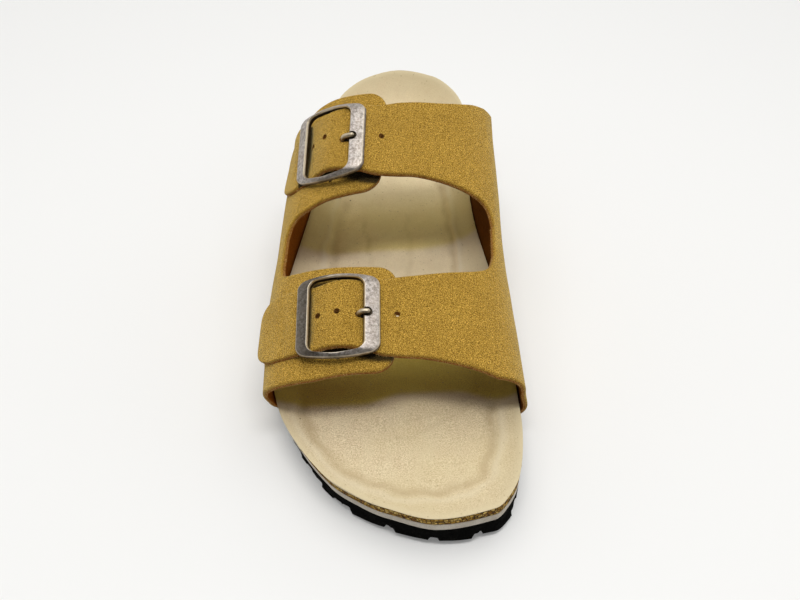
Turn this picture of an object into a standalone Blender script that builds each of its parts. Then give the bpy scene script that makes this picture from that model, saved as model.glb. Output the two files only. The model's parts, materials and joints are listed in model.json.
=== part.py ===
"""Two-strap buckle sandal for the right foot.

Lengths are in millimetres and become metres when a mesh is written. The toe points to -Y, the heel to +Y,
the inner (medial) side is +X, the outer (lateral) side is -X and the ground is z = 0.
"""

import math
from collections import namedtuple
from functools import lru_cache

import bmesh
import bpy
import numpy as np
from mathutils import Euler, Vector

MM = 0.001
WELD = 0.02

# Sole
TOE_TIP = (14.0, -136.0)
HEEL_TIP = (0.5, 136.0)
FIT_GAP = 0.3
MIDSOLE_THICK = 4.0
LINER_THICK = 1.2
RIM_ROLL = 1.2
RIM_ROLL_WIDTH = 2.5
UNDERCUT_ENDS = 1.4
UNDERCUT_SIDES = 2.7
UNDERCUT_SKEW = 1.9
SOLE_ROWS = 40
RIM_COLUMNS = (0.0, 0.014, 0.04, 0.09, 0.16, 0.3, 0.5)
OUTLINE_STEPS = 16
NORMAL_STEP = 1.0
# The slope of the rim is hollow, more so round the heel cup
TOE_HOLLOW = 1.35
HEEL_HOLLOW = 0.5
HEEL_HOLLOW_FROM = -20.0
HEEL_HOLLOW_RUN = 110.0
MOUND_CLEAR = 12.0

Rim = namedtuple("Rim", "y lateral medial")
RIM = (
    Rim(-131, -5.2, 37.2),
    Rim(-126, -15.7, 42.4),
    Rim(-116, -29.2, 47.4),
    Rim(-96, -43.6, 50.2),
    Rim(-76, -51.0, 49.6),
    Rim(-56, -53.4, 48.9),
    Rim(-41, -53.2, 47.6),
    Rim(-16, -50.4, 43.1),
    Rim(14, -44.8, 36.5),
    Rim(39, -40.2, 34.2),
    Rim(64, -37.3, 34.4),
    Rim(89, -35.9, 35.4),
    Rim(109, -32.1, 33.2),
    Rim(122, -24.8, 27.3),
    Rim(131, -14.4, 18.3),
)

# Heights along the sole: underside, outsole thickness, footbed floor, rim on each side, width of the rim's slope
Level = namedtuple("Level", "y ground outsole floor rim_lateral rim_medial slope")
LEVELS = (
    Level(-136, 3.2, 8.0, 18.4, 20.5, 20.5, 12),
    Level(-112, 0.9, 7.5, 16.4, 20.2, 20.2, 12),
    Level(-92, 0.0, 7.5, 15.7, 20.0, 20.0, 12),
    Level(-55, 0.0, 7.5, 15.4, 20.5, 21.0, 13),
    Level(-20, 0.0, 8.0, 17.0, 22.5, 25.5, 15),
    Level(12, 2.0, 7.0, 19.0, 26.5, 32.0, 15),
    Level(48, 0.0, 10.0, 20.5, 31.0, 35.5, 17),
    Level(95, 0.0, 11.0, 21.5, 35.2, 36.0, 19),
    Level(122, 0.0, 11.0, 23.0, 36.8, 36.8, 20),
    Level(136, 1.5, 9.5, 25.0, 37.4, 37.4, 20),
)

# Raised places of the footbed: metatarsal pad, arch support, toe bar
Mound = namedtuple("Mound", "x y height half_x half_y")
MOUNDS = (
    Mound(-3, -12, 2.0, 17, 17),
    Mound(24, 18, 3.0, 10, 28),
    Mound(4, -88, 0.8, 30, 7),
)

# Tread
GROOVE_DEPTH = 2.6
GROOVE_ROOT = 1.3
GROOVE_MOUTH = 2.3
GROOVE_BELOW = 1.0
GROOVE_HALF_SPAN = 70.0
GROOVE_PITCH = 17.0
CROSS_GROOVE_FIRST = -117.0
CROSS_GROOVES = 15
LONG_GROOVE_STEP = 8.0
LongGroove = namedtuple("LongGroove", "x y_from y_to")
LONG_GROOVES = (
    LongGroove(-20, -145, 145),
    LongGroove(-3, -145, 145),
    LongGroove(14, -145, 145),
    LongGroove(31, -145, -32),
)

# Last: inner face of the leather across the foot
Last = namedtuple("Last", "y crown_x crown_z medial_x medial_z lateral_x lateral_z")
LAST = (
    Last(-100, 3, 43.0, 50.0, 29, -50.0, 27),
    Last(-80, 3, 48.0, 48.8, 31, -52.0, 28),
    Last(-50, 4, 57.0, 46.1, 37, -52.3, 33),
    Last(-20, 5, 65.0, 43.4, 45, -50.0, 40),
    Last(5, 6, 71.5, 42.8, 52, -48.4, 46),
    Last(30, 8, 79.0, 42.0, 57, -46.2, 50),
    Last(55, 9, 88.0, 41.0, 62, -46.6, 54),
)
INSTEP_SQUARENESS = 2.5
LEATHER = 2.3
RIM_CLEAR = 0.9
SQUARE_FOOT = 8.0
RIM_BELOW_SPRING = 4.0
WALL_STEPS = 25
ARCH_STEPS = 60

# Straps and tabs: where their front and rear edges lie, by girth from the crown (medial side positive)
Band = namedtuple("Band", "girth front rear")
FRONT_STRAP = (
    Band(-60.5, -76.4, -47.2),
    Band(-44, -79.0, -51.4),
    Band(-26, -80.8, -52.1),
    Band(-18, -81.0, -51.3),
    Band(-7, -81.8, -48.9),
    Band(5, -81.8, -47.0),
    Band(15, -82.9, -45.3),
    Band(24, -84.3, -43.6),
    Band(30, -85.5, -41.4),
    Band(34, -86.4, -37.5),
    Band(36, -87.0, -31.0),
)
REAR_STRAP = (
    Band(-60.5, 4.4, 32.5),
    Band(-50, 2.4, 32.2),
    Band(-40, 1.4, 29.5),
    Band(-30, 0.8, 28.6),
    Band(-22, -0.4, 29.0),
    Band(-14, -1.8, 31.6),
    Band(-7, -1.4, 34.5),
    Band(1, 0.0, 36.8),
    Band(10, -1.0, 37.5),
    Band(18, -2.8, 39.0),
    Band(25, -4.8, 41.5),
    Band(30, -6.8, 43.0),
    Band(34, -10.5, 44.0),
    Band(36, -17.0, 44.5),
)
FRONT_TAB = (
    Band(-54.5, -87.4, -34.0),
    Band(-53.5, -87.6, -37.8),
    Band(-50, -88.2, -39.8),
    Band(-43, -89.0, -41.0),
    Band(-36, -89.2, -41.5),
    Band(-28, -88.3, -42.0),
    Band(-20, -87.7, -42.6),
    Band(-4, -87.5, -43.6),
)
REAR_TAB = (
    Band(-54.5, -19.0, 41.0),
    Band(-52.5, -11.8, 41.2),
    Band(-48.5, -9.0, 41.8),
    Band(-43.5, -8.0, 43.4),
    Band(-36, -7.0, 44.4),
    Band(-28, -6.4, 44.2),
    Band(-20, -5.6, 43.8),
    Band(-13, -5.0, 43.0),
)
MEDIAL_FOOT = Band(0, -82.5, 48.0)
LATERAL_FOOT = Band(0, -78.5, 45.0)
SEAT_RUN = 9.0
SEAT_FRONT_LEAD = 6.0
SEAT_REAR_LEAD = 1.0
STRAP_END_RADIUS = 9.0
TAB_END_RADIUS = 8.0
STRAP_COLUMNS = 27
TAB_COLUMNS = 13
PANEL_COLUMNS = 8
BAND_ROWS = 5
WINDOW_ROWS = 3
END_CROWDING = 0.07

# Buckles: centre of the frame, its turn about X, Y and Z in degrees, how far the strap's tail stands off
Buckle = namedtuple("Buckle", "name centre turn tail_flare")
BUCKLES = (
    Buckle("front", (-23.6, -66.9, 57.7), (14.4, -7.6, -1.0), 2.0),
    Buckle("rear", (-29.8, 14.9, 79.0), (22.0, -27.0, -12.0), 0.3),
)
FRAME_LENGTH = 33.4
FRAME_WIDTH = 37.3
FRAME_CORNER = 3.6
FRAME_BARREL = 2.7
FRAME_BEND = 200.0
FRAME_RISE = 0.4
WINDOW_LENGTH = 21.9
WINDOW_SHIFT = -0.5
WINDOW_WIDTH = 33.2
WINDOW_CORNER = 3.5
FRAME_THICK = 2.0
BAR_RADIUS = 1.0
BAR_DROP = 2.7
BAR_PAST_POST = 0.4
POST_OUT = 17.4
POST_RADIUS = 0.85
NOTCH_RADIUS = 2.1
NOTCH_IN = 1.6
NOTCH_REACH = 4.0
NOTCH_SIDES = 16
PRONG_RADIUS = 1.1
ProngStop = namedtuple("ProngStop", "along height")
PRONG_STOPS = (
    ProngStop(1.8, -3.6),
    ProngStop(4.0, -3.7),
    ProngStop(5.6, -2.5),
    ProngStop(6.9, -0.6),
    ProngStop(8.4, 0.9),
    ProngStop(10.4, 1.2),
    ProngStop(12.6, 0.7),
)
STRAP_OVER_BAR = 0.35
STRAP_SAG = 4.2
STRAP_SAG_REACH = 18.0
STRAP_DOWN_FROM = 14.0
STRAP_DOWN_RUN = 19.0
TAIL_BITE = 0.5
TAIL_DOWN_FROM = 13.0
TAIL_DOWN_RUN = 10.0
TAIL_FLARE_FROM = 27.0
TAIL_FLARE_RUN = 9.0

# Strap holes
Hole = namedtuple("Hole", "strap girth y")
HOLES = (
    Hole("front", -33.6, -66.0),
    Hole("front", -26.2, -66.0),
    Hole("front", -11.3, -65.2),
    Hole("front", -3.5, -64.8),
    Hole("rear", -42.7, 18.8),
    Hole("rear", -36.4, 17.6),
    Hole("rear", -20.8, 15.2),
    Hole("rear", -13.6, 14.8),
)
HOLE_RADIUS = 1.3
SLOT_FROM = 4.6
SLOT_TO = 8.4
SLOT_RADIUS = 1.6
SLOT_SIDES = 18
SLOT_BOTTOM = -4.3
SLOT_TOP = 2.5
HOLE_BELOW = 0.8
HOLE_ABOVE = 1.5

COLOURS = {
    "outsole_rubber": (0.02, 0.02, 0.02),
    "midsole_foam": (0.62, 0.60, 0.57),
    "cork": (0.36, 0.24, 0.13),
    "suede": (0.70, 0.60, 0.44),
    "nubuck": (0.52, 0.34, 0.09),
    "buckle_metal": (0.45, 0.42, 0.40),
}


def smooth(xs, ys, x, flat_end=False):
    """Monotone cubic through a table, so flats stay flat."""
    xs = np.asarray(xs, float)
    ys = np.asarray(ys, float)
    step = np.diff(xs)
    slope = np.diff(ys) / step
    tangent = np.zeros(len(xs))
    for i in range(1, len(xs) - 1):
        if slope[i - 1] * slope[i] > 0:
            before = 2 * step[i] + step[i - 1]
            after = step[i] + 2 * step[i - 1]
            tangent[i] = (before + after) / (before / slope[i - 1] + after / slope[i])
    tangent[0] = slope[0]
    tangent[-1] = 0.0 if flat_end else slope[-1]
    i = np.clip(np.searchsorted(xs, x) - 1, 0, len(xs) - 2)
    t = (np.asarray(x, float) - xs[i]) / step[i]
    return (
        ys[i] * (1 + 2 * t) * (1 - t) ** 2
        + tangent[i] * step[i] * t * (1 - t) ** 2
        + ys[i + 1] * t * t * (3 - 2 * t)
        + tangent[i + 1] * step[i] * t * t * (t - 1)
    )


def column(table, name):
    return [getattr(row, name) for row in table]


def level(name, y):
    inside = min(max(y, TOE_TIP[1]), HEEL_TIP[1])
    return float(smooth(column(LEVELS, "y"), column(LEVELS, name), inside))


def band(table, name, girth):
    return float(smooth(column(table, "girth"), column(table, name), girth))


def ease(t):
    t = min(max(t, 0.0), 1.0)
    return t * t * (3 - 2 * t)


def sole_outline():
    """Dense closed outline of the rim as two halves, toe tip to heel tip."""
    lateral = [TOE_TIP] + [(row.lateral, row.y) for row in RIM] + [HEEL_TIP]
    medial = [(row.medial, row.y) for row in reversed(RIM)]
    loop = [np.array(p) for p in lateral + medial]
    count = len(loop)
    dense = []
    for i in range(count):
        before, start, end, after = (loop[(i + k) % count] for k in (-1, 0, 1, 2))
        chord = np.linalg.norm(end - start)
        start_tangent = (end - before) / np.linalg.norm(end - before) * chord
        end_tangent = (after - start) / np.linalg.norm(after - start) * chord
        for k in range(OUTLINE_STEPS):
            t = k / OUTLINE_STEPS
            dense.append(
                start * (1 + 2 * t) * (1 - t) ** 2
                + start_tangent * t * (1 - t) ** 2
                + end * t * t * (3 - 2 * t)
                + end_tangent * t * t * (t - 1)
            )
    dense = np.array(dense)
    heel = OUTLINE_STEPS * (len(RIM) + 1)
    return dense[: heel + 1], np.vstack([dense[heel:], dense[:1]])[::-1]


LATERAL_HALF, MEDIAL_HALF = sole_outline()
RIM_LOOP = np.vstack([LATERAL_HALF, MEDIAL_HALF])


def outline_point(half, fraction):
    """Point and outward normal of one half of the rim, by share of its length from the toe."""
    steps = np.linalg.norm(np.diff(half, axis=0), axis=1)
    run = np.concatenate([[0.0], np.cumsum(steps)])

    def at(distance):
        return np.array([np.interp(distance, run, half[:, 0]), np.interp(distance, run, half[:, 1])])

    place = fraction * run[-1]
    ahead = at(min(place + NORMAL_STEP, run[-1]))
    behind = at(max(place - NORMAL_STEP, 0.0))
    along = (ahead - behind) / np.linalg.norm(ahead - behind)
    side = 1.0 if half is LATERAL_HALF else -1.0
    normal = np.array([-along[1], along[0]]) * side
    if fraction in (0.0, 1.0):
        normal = np.array([0.0, -1.0 if fraction == 0.0 else 1.0])
    return at(place), normal


def rim_x(half, y):
    return float(np.interp(y, half[:, 1], half[:, 0]))


def rim_height(x, y):
    lateral = rim_x(LATERAL_HALF, y)
    medial = rim_x(MEDIAL_HALF, y)
    across = (x - lateral) / max(medial - lateral, 1e-6)
    return level("rim_lateral", y) + (level("rim_medial", y) - level("rim_lateral", y)) * ease(across)


def ground(x, y):
    return level("ground", y)


def outsole_top(x, y):
    return level("ground", y) + level("outsole", y)


def midsole_bottom(x, y):
    return outsole_top(x, y) + FIT_GAP


def midsole_top(x, y):
    return midsole_bottom(x, y) + MIDSOLE_THICK


def cork_bottom(x, y):
    return midsole_top(x, y) + FIT_GAP


def liner_top(x, y):
    """Top of the suede: floor, sloping rim with a rolled edge, and the raised places."""
    edge = float(np.min(np.hypot(RIM_LOOP[:, 0] - x, RIM_LOOP[:, 1] - y)))
    floor = level("floor", y)
    share = max(0.0, 1 - edge / level("slope", y))
    hollow = TOE_HOLLOW + HEEL_HOLLOW * ease((y - HEEL_HOLLOW_FROM) / HEEL_HOLLOW_RUN)
    height = floor + (rim_height(x, y) - floor) * share**hollow
    height -= RIM_ROLL * max(0.0, 1 - edge / RIM_ROLL_WIDTH) ** 2
    inside = ease(edge / MOUND_CLEAR)
    for mound in MOUNDS:
        across = (x - mound.x) / mound.half_x
        along = (y - mound.y) / mound.half_y
        height += inside * mound.height * math.exp(-across * across - along * along)
    return height


def liner_bottom(x, y):
    return liner_top(x, y) - LINER_THICK


def cork_top(x, y):
    return liner_bottom(x, y) - FIT_GAP


def undercut(point, normal, height):
    """How far the tapering side of the sole stands inside the rim at a height."""
    low = ground(*point)
    share = (rim_height(*point) - height) / (rim_height(*point) - low)
    most = UNDERCUT_ENDS + (UNDERCUT_SIDES - UNDERCUT_ENDS) * normal[0] ** 2 - UNDERCUT_SKEW * normal[0]
    return most * min(max(share, 0.0), 1.0)


def leather_seat(y):
    """How far the side of the cork steps in to seat the leather, along the length of the upper."""
    front = ease((y - LATERAL_FOOT.front + SEAT_RUN + SEAT_FRONT_LEAD) / SEAT_RUN)
    rear = ease((MEDIAL_FOOT.rear + SEAT_RUN + SEAT_REAR_LEAD - y) / SEAT_RUN)
    return (LEATHER + FIT_GAP) * front * rear


def new_object(name, mesh, slot, collection):
    thing = bpy.data.objects.new(name, mesh)
    collection.objects.link(thing)
    if slot is not None:
        mesh.materials.append(MATERIALS[slot])
    return thing


def finish_mesh(name, vertices, faces):
    mesh = bpy.data.meshes.new(name)
    mesh.from_pydata([tuple(c * MM for c in v) for v in vertices], [], faces)
    work = bmesh.new()
    work.from_mesh(mesh)
    bmesh.ops.remove_doubles(work, verts=work.verts, dist=WELD * MM)
    bmesh.ops.recalc_face_normals(work, faces=work.faces)
    work.to_mesh(mesh)
    work.free()
    return mesh


def layer(name, top, bottom, top_columns, bottom_columns, slot, seat=None):
    """One layer of the sole, lofted in rows across the rim's outline from toe to heel."""
    vertices = []
    faces = []

    def sheet(height, shares, step=None):
        rows = []
        for k in range(SOLE_ROWS + 1):
            fraction = k / SOLE_ROWS
            ends = []
            for half in (LATERAL_HALF, MEDIAL_HALF):
                point, normal = outline_point(half, fraction)
                inset = undercut(point, normal, height(*point))
                inset += step(point[1]) if step else 0.0
                ends.append(point - normal * inset)
            row = []
            for share in shares if 0 < k < SOLE_ROWS else (0.5,):
                x, y = ends[0] + (ends[1] - ends[0]) * share
                row.append(len(vertices))
                vertices.append((x, y, height(x, y)))
            rows.append(row)
        for near, far in zip(rows, rows[1:]):
            for j in range(max(len(near), len(far)) - 1):
                corners = [near[min(j, len(near) - 1)], near[min(j + 1, len(near) - 1)]]
                corners += [far[min(j + 1, len(far) - 1)], far[min(j, len(far) - 1)]]
                faces.append(list(dict.fromkeys(corners)))
        return [r[0] for r in rows] + [r[-1] for r in reversed(rows[1:-1])]

    upper_rim = sheet(top, top_columns)
    lower_rim = sheet(bottom, bottom_columns, seat)
    count = len(upper_rim)
    for i in range(count):
        j = (i + 1) % count
        faces.append([upper_rim[i], upper_rim[j], lower_rim[j], lower_rim[i]])
    return new_object(name, finish_mesh(name, vertices, faces), slot, PARTS)


def sweep(stations):
    """Closed bar through equal rings of corners."""
    vertices = []
    faces = []
    count = len(stations[0])
    for ring in stations:
        vertices.extend(ring)
    for i in range(len(stations) - 1):
        for k in range(count):
            n = (k + 1) % count
            faces.append([i * count + k, i * count + n, (i + 1) * count + n, (i + 1) * count + k])
    faces.append(list(range(count)))
    faces.append([len(vertices) - count + k for k in range(count)])
    return vertices, faces


def groove_ring(low, across, out):
    """Trapezoid section of a tread groove, wider at the ground."""
    ring = []
    flare = (GROOVE_MOUTH - GROOVE_ROOT) / GROOVE_DEPTH
    foot = GROOVE_MOUTH + flare * GROOVE_BELOW
    for half_width, height in ((foot, -GROOVE_BELOW), (GROOVE_ROOT, GROOVE_DEPTH)):
        for side in (-1, 1) if height < 0 else (1, -1):
            ring.append(tuple(low + across * side * half_width + out * height))
    return ring


def cross_grooves():
    vertices = []
    faces = []
    for k in range(CROSS_GROOVES):
        y = CROSS_GROOVE_FIRST + GROOVE_PITCH * k
        rings = []
        for x in (-GROOVE_HALF_SPAN, GROOVE_HALF_SPAN):
            low = np.array([x, y, ground(x, y)])
            rings.append(groove_ring(low, np.array([0, 1, 0]), np.array([0, 0, 1])))
        bar, sides = sweep(rings)
        faces.extend([[i + len(vertices) for i in face] for face in sides])
        vertices.extend(bar)
    return new_object("cross_groove_cutter", finish_mesh("cross_groove_cutter", vertices, faces), None, CUTTERS)


def long_grooves():
    vertices = []
    faces = []
    for groove in LONG_GROOVES:
        rings = []
        count = round((groove.y_to - groove.y_from) / LONG_GROOVE_STEP)
        for k in range(count + 1):
            y = groove.y_from + (groove.y_to - groove.y_from) * k / count
            low = np.array([groove.x, y, ground(groove.x, y)])
            rings.append(groove_ring(low, np.array([1, 0, 0]), np.array([0, 0, 1])))
        bar, sides = sweep(rings)
        faces.extend([[i + len(vertices) for i in face] for face in sides])
        vertices.extend(bar)
    return new_object("long_groove_cutter", finish_mesh("long_groove_cutter", vertices, faces), None, CUTTERS)


def cut(thing, cutter, operation="DIFFERENCE"):
    modifier = thing.modifiers.new(cutter.name, "BOOLEAN")
    modifier.operation = operation
    modifier.solver = "EXACT"
    modifier.object = cutter
    cutter.hide_render = True
    cutter.display_type = "WIRE"


@lru_cache(maxsize=None)
def section(y):
    """Girth, x and z of the leather's inner face across the foot, lateral foot to medial foot."""
    shape = {name: float(smooth(column(LAST, "y"), column(LAST, name), y)) for name in Last._fields[1:]}
    halves = []
    for side, half, spring in ((1, MEDIAL_HALF, "medial"), (-1, LATERAL_HALF, "lateral")):
        edge = rim_x(half, y)
        rim = level("rim_" + spring, y)
        foot = cork_bottom(edge, y)
        tuck = undercut((edge, y), (side, 0.0), foot) + leather_seat(y)
        low_x = edge - side * (tuck - 2 * FIT_GAP)
        spring_x = shape[spring + "_x"]
        spring_z = shape[spring + "_z"]
        knots_z = (foot, min(rim, spring_z - RIM_BELOW_SPRING), spring_z)
        knots_x = (low_x, edge + side * RIM_CLEAR, spring_x)
        heights = np.linspace(foot, spring_z, WALL_STEPS)
        wall = np.stack([smooth(knots_z, knots_x, heights, True), heights], 1)
        turn = np.linspace(0, math.pi / 2, ARCH_STEPS)[1:]
        power = 2 / INSTEP_SQUARENESS
        arch_x = shape["crown_x"] + (spring_x - shape["crown_x"]) * np.cos(turn) ** power
        arch_z = spring_z + (shape["crown_z"] - spring_z) * np.sin(turn) ** power
        halves.append(np.vstack([wall, np.stack([arch_x, arch_z], 1)]))
    medial, lateral = halves
    line = np.vstack([lateral, medial[::-1][1:]])
    run = np.concatenate([[0.0], np.cumsum(np.linalg.norm(np.diff(line, axis=0), axis=1))])
    return run - run[len(lateral) - 1], line[:, 0], line[:, 1]


def on_last(girth, y, lift=0.0):
    """Point of the last at a girth from the crown, and its outward normal."""
    girths, xs, zs = section(round(y, 3))
    low = max(girth - NORMAL_STEP, girths[0])
    high = min(girth + NORMAL_STEP, girths[-1])
    dx = np.interp(high, girths, xs) - np.interp(low, girths, xs)
    dz = np.interp(high, girths, zs) - np.interp(low, girths, zs)
    point = np.array([np.interp(girth, girths, xs), y, np.interp(girth, girths, zs)])
    above_foot = point[2] - (zs[0] if girth < 0 else zs[-1])
    normal = np.array([-dz, 0.0, dx * ease(above_foot / SQUARE_FOOT)])
    normal /= np.linalg.norm(normal)
    return point + normal * lift, normal


def foot_girth(y, side):
    girths = section(round(y, 3))[0]
    return girths[-1] if side > 0 else girths[0]


def buckle_axes(buckle):
    turn = Euler([math.radians(a) for a in buckle.turn]).to_matrix()
    return np.array(buckle.centre), np.array(turn)


def strap_lift(buckle, girth, y):
    """Lift of the strap: over the bar, under the ends of the frame, down on to the last and the outer panel."""
    centre, axes = buckle_axes(buckle)
    lift = 0.0
    for _ in range(3):
        point, normal = on_last(girth, y, lift)
        along = float((point - centre) @ axes[:, 0])
        height = float((on_last(girth, y)[0] - centre) @ axes[:, 2])
        sag = STRAP_SAG * (1 - math.cos(math.pi * min(abs(along), STRAP_SAG_REACH) / STRAP_SAG_REACH)) / 2
        under = -BAR_DROP + BAR_RADIUS + STRAP_OVER_BAR - sag
        raised = (under - height) / float(normal @ axes[:, 2])
        if along > 0:
            share = 1 - ease((along - STRAP_DOWN_FROM) / STRAP_DOWN_RUN)
            rest = 0.0
        else:
            share = 1 - ease((-along - TAIL_DOWN_FROM) / TAIL_DOWN_RUN)
            flare = buckle.tail_flare * ease((-along - TAIL_FLARE_FROM) / TAIL_FLARE_RUN)
            rest = LEATHER - TAIL_BITE + flare
        lift = max(share * raised + (1 - share) * rest, rest)
    return lift


def rounded(distance, radius):
    """How far an edge draws in near a rounded end."""
    if distance >= radius:
        return 0.0
    return radius - math.sqrt(max(radius * radius - (radius - distance) ** 2, 0.0))


def shell(name, nodes, cells):
    """Closed leather solid from nodes of girth, y and lift, with a wall of even thickness."""
    index = {}
    vertices = []
    for key, (girth, y, lift) in nodes.items():
        index[key] = len(vertices)
        vertices.append(tuple(on_last(girth, y, lift)[0]))
        vertices.append(tuple(on_last(girth, y, lift + LEATHER)[0]))
    faces = []
    uses = {}
    for cell in cells:
        faces.append([index[k] for k in cell])
        faces.append([index[k] + 1 for k in reversed(cell)])
        for a, b in zip(cell, cell[1:] + cell[:1]):
            uses.setdefault(frozenset((a, b)), []).append((a, b))
    for sides in uses.values():
        if len(sides) == 1:
            a, b = sides[0]
            faces.append([index[b], index[a], index[a] + 1, index[b] + 1])
    return finish_mesh(name, vertices, faces)


def side_panel(name, side, front_table, rear_table, end_radius, columns, foot, lift):
    """Panel of one side of the foot with its two bands, the window between them left open."""
    nodes = {}
    cells = []
    last_row = 2 * BAND_ROWS + WINDOW_ROWS
    window_girth = front_table[-1].girth if side > 0 else front_table[0].girth

    def span(table, girth, tip):
        draw = rounded(abs(girth - tip), end_radius)
        return band(table, "front", girth) + draw, band(table, "rear", girth) - draw

    for i in range(columns + 1):
        for table, first_row, strap in ((front_table, 0, "front"), (rear_table, BAND_ROWS + WINDOW_ROWS, "rear")):
            tip = table[0].girth if side > 0 else table[-1].girth
            share = i / columns
            girth = tip + (window_girth - tip) * (share - END_CROWDING * math.sin(2 * math.pi * share))
            front, rear = span(table, girth, tip)
            for j in range(BAND_ROWS + 1):
                y = front + (rear - front) * j / BAND_ROWS
                nodes[i, first_row + j] = (girth, y, lift(strap, girth, y))
    ahead = nodes[columns, BAND_ROWS][1]
    behind = nodes[columns, BAND_ROWS + WINDOW_ROWS][1]
    for j in range(1, WINDOW_ROWS):
        nodes[columns, BAND_ROWS + j] = (window_girth, ahead + (behind - ahead) * j / WINDOW_ROWS, 0.0)
    first = nodes[columns, 0][1]
    final = nodes[columns, last_row][1]
    for j in range(last_row + 1):
        start_y = nodes[columns, j][1]
        end_y = foot.front + (foot.rear - foot.front) * (start_y - first) / (final - first)
        for i in range(1, PANEL_COLUMNS + 1):
            share = i / PANEL_COLUMNS
            y = start_y + (end_y - start_y) * share
            girth = window_girth + (foot_girth(y, side) - window_girth) * share
            nodes[columns + i, j] = (girth, y, 0.0)
    for i in range(columns + PANEL_COLUMNS):
        for j in range(last_row):
            if i < columns and BAND_ROWS <= j < BAND_ROWS + WINDOW_ROWS:
                continue
            cells.append([(i, j), (i + 1, j), (i + 1, j + 1), (i, j + 1)])
    return shell(name, nodes, cells)


def pin_mesh(work, start, end, radius, sides=14):
    """Add a capped cylinder from start to end."""
    start = Vector([c * MM for c in start])
    end = Vector([c * MM for c in end])
    turn = (end - start).to_track_quat("Z", "Y").to_matrix().to_4x4()
    turn.translation = (start + end) / 2
    bmesh.ops.create_cone(
        work,
        cap_ends=True,
        segments=sides,
        radius1=radius * MM,
        radius2=radius * MM,
        depth=(end - start).length,
        matrix=turn,
    )


def hole_cutters():
    """Round strap holes, and the longer hole that each prong comes up through."""
    work = bmesh.new()
    for hole in HOLES:
        buckle = next(b for b in BUCKLES if b.name == hole.strap)
        lift = strap_lift(buckle, hole.girth, hole.y)
        low = on_last(hole.girth, hole.y, lift - HOLE_BELOW)[0]
        high = on_last(hole.girth, hole.y, lift + LEATHER + HOLE_ABOVE)[0]
        pin_mesh(work, low, high, HOLE_RADIUS)
    for buckle in BUCKLES:
        centre, axes = buckle_axes(buckle)
        ring = []
        for k in range(SLOT_SIDES):
            turn = 2 * math.pi * k / SLOT_SIDES
            end = SLOT_TO if math.cos(turn) > 0 else SLOT_FROM
            ring.append((end + SLOT_RADIUS * math.cos(turn), SLOT_RADIUS * math.sin(turn)))
        bottom = []
        top = []
        for along, across in ring:
            for height, rim in ((SLOT_BOTTOM, bottom), (SLOT_TOP, top)):
                place = centre + axes @ np.array([along, across, height])
                rim.append(work.verts.new([c * MM for c in place]))
        work.faces.new(bottom)
        work.faces.new(list(reversed(top)))
        for k in range(SLOT_SIDES):
            n = (k + 1) % SLOT_SIDES
            work.faces.new([bottom[k], bottom[n], top[n], top[k]])
    bmesh.ops.recalc_face_normals(work, faces=work.faces)
    mesh = bpy.data.meshes.new("strap_hole_cutter")
    work.to_mesh(mesh)
    work.free()
    return new_object("strap_hole_cutter", mesh, None, CUTTERS)


def round_rectangle(length, width, corner, steps=5):
    """Outline of a frame whose side rails bow out, with three more points along each rail."""
    points = []
    rail = length / 2 - corner
    for sx, sy, start in ((1, 1, 0), (-1, 1, 90), (-1, -1, 180), (1, -1, 270)):
        for k in range(steps + 1):
            turn = math.radians(start + 90 * k / steps)
            x = sx * rail + corner * math.cos(turn)
            y = sy * (width / 2 - corner) + corner * math.sin(turn)
            points.append((x, y))
        if sx == sy:
            points.extend((sx * rail * (1 - k / 2), sy * width / 2) for k in (1, 2, 3))
    return [(x, y * (1 - FRAME_BARREL * 2 / width * (x / FRAME_LENGTH * 2) ** 2)) for x, y in points]


def place_with(thing, buckle):
    thing.location = [c * MM for c in buckle.centre]
    thing.rotation_euler = [math.radians(a) for a in buckle.turn]


def buckle_frame(buckle):
    """Rounded frame bent to the foot, with a notch for the prong and a bar on two short posts below."""
    outer = round_rectangle(FRAME_LENGTH, FRAME_WIDTH, FRAME_CORNER)
    inner = [(x + WINDOW_SHIFT, y) for x, y in round_rectangle(WINDOW_LENGTH, WINDOW_WIDTH, WINDOW_CORNER)]
    count = len(outer)
    half = FRAME_THICK / 2
    vertices = []
    faces = []
    for loop, height in ((outer, half), (inner, half), (inner, -half), (outer, -half)):
        vertices.extend((x, y, height + FRAME_RISE - x * x / (2 * FRAME_BEND)) for x, y in loop)
    for ring in range(4):
        for k in range(count):
            n = (k + 1) % count
            a = ring * count
            b = (ring + 1) % 4 * count
            faces.append([a + k, a + n, b + n, b + k])
    name = buckle.name + "_buckle"
    frame = new_object(name, finish_mesh(name, vertices, faces), "buckle_metal", PARTS)
    place_with(frame, buckle)
    work = bmesh.new()
    notch_x = WINDOW_LENGTH / 2 + WINDOW_SHIFT + NOTCH_IN
    pin_mesh(work, (notch_x, 0, -NOTCH_REACH), (notch_x, 0, NOTCH_REACH), NOTCH_RADIUS, NOTCH_SIDES)
    mesh = bpy.data.meshes.new(buckle.name + "_notch_cutter")
    work.to_mesh(mesh)
    work.free()
    notch = new_object(buckle.name + "_notch_cutter", mesh, None, CUTTERS)
    place_with(notch, buckle)
    cut(frame, notch)
    bar_end = POST_OUT + BAR_PAST_POST
    for label, start, end, radius in (
        ("bar", (0, -bar_end, -BAR_DROP), (0, bar_end, -BAR_DROP), BAR_RADIUS),
        ("near_post", (0, -POST_OUT, -BAR_DROP), (0, -POST_OUT, FRAME_RISE), POST_RADIUS),
        ("far_post", (0, POST_OUT, -BAR_DROP), (0, POST_OUT, FRAME_RISE), POST_RADIUS),
    ):
        work = bmesh.new()
        pin_mesh(work, start, end, radius)
        mesh = bpy.data.meshes.new(buckle.name + "_" + label)
        work.to_mesh(mesh)
        work.free()
        pin = new_object(buckle.name + "_" + label, mesh, None, CUTTERS)
        place_with(pin, buckle)
        cut(frame, pin, "UNION")
    return frame


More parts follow.
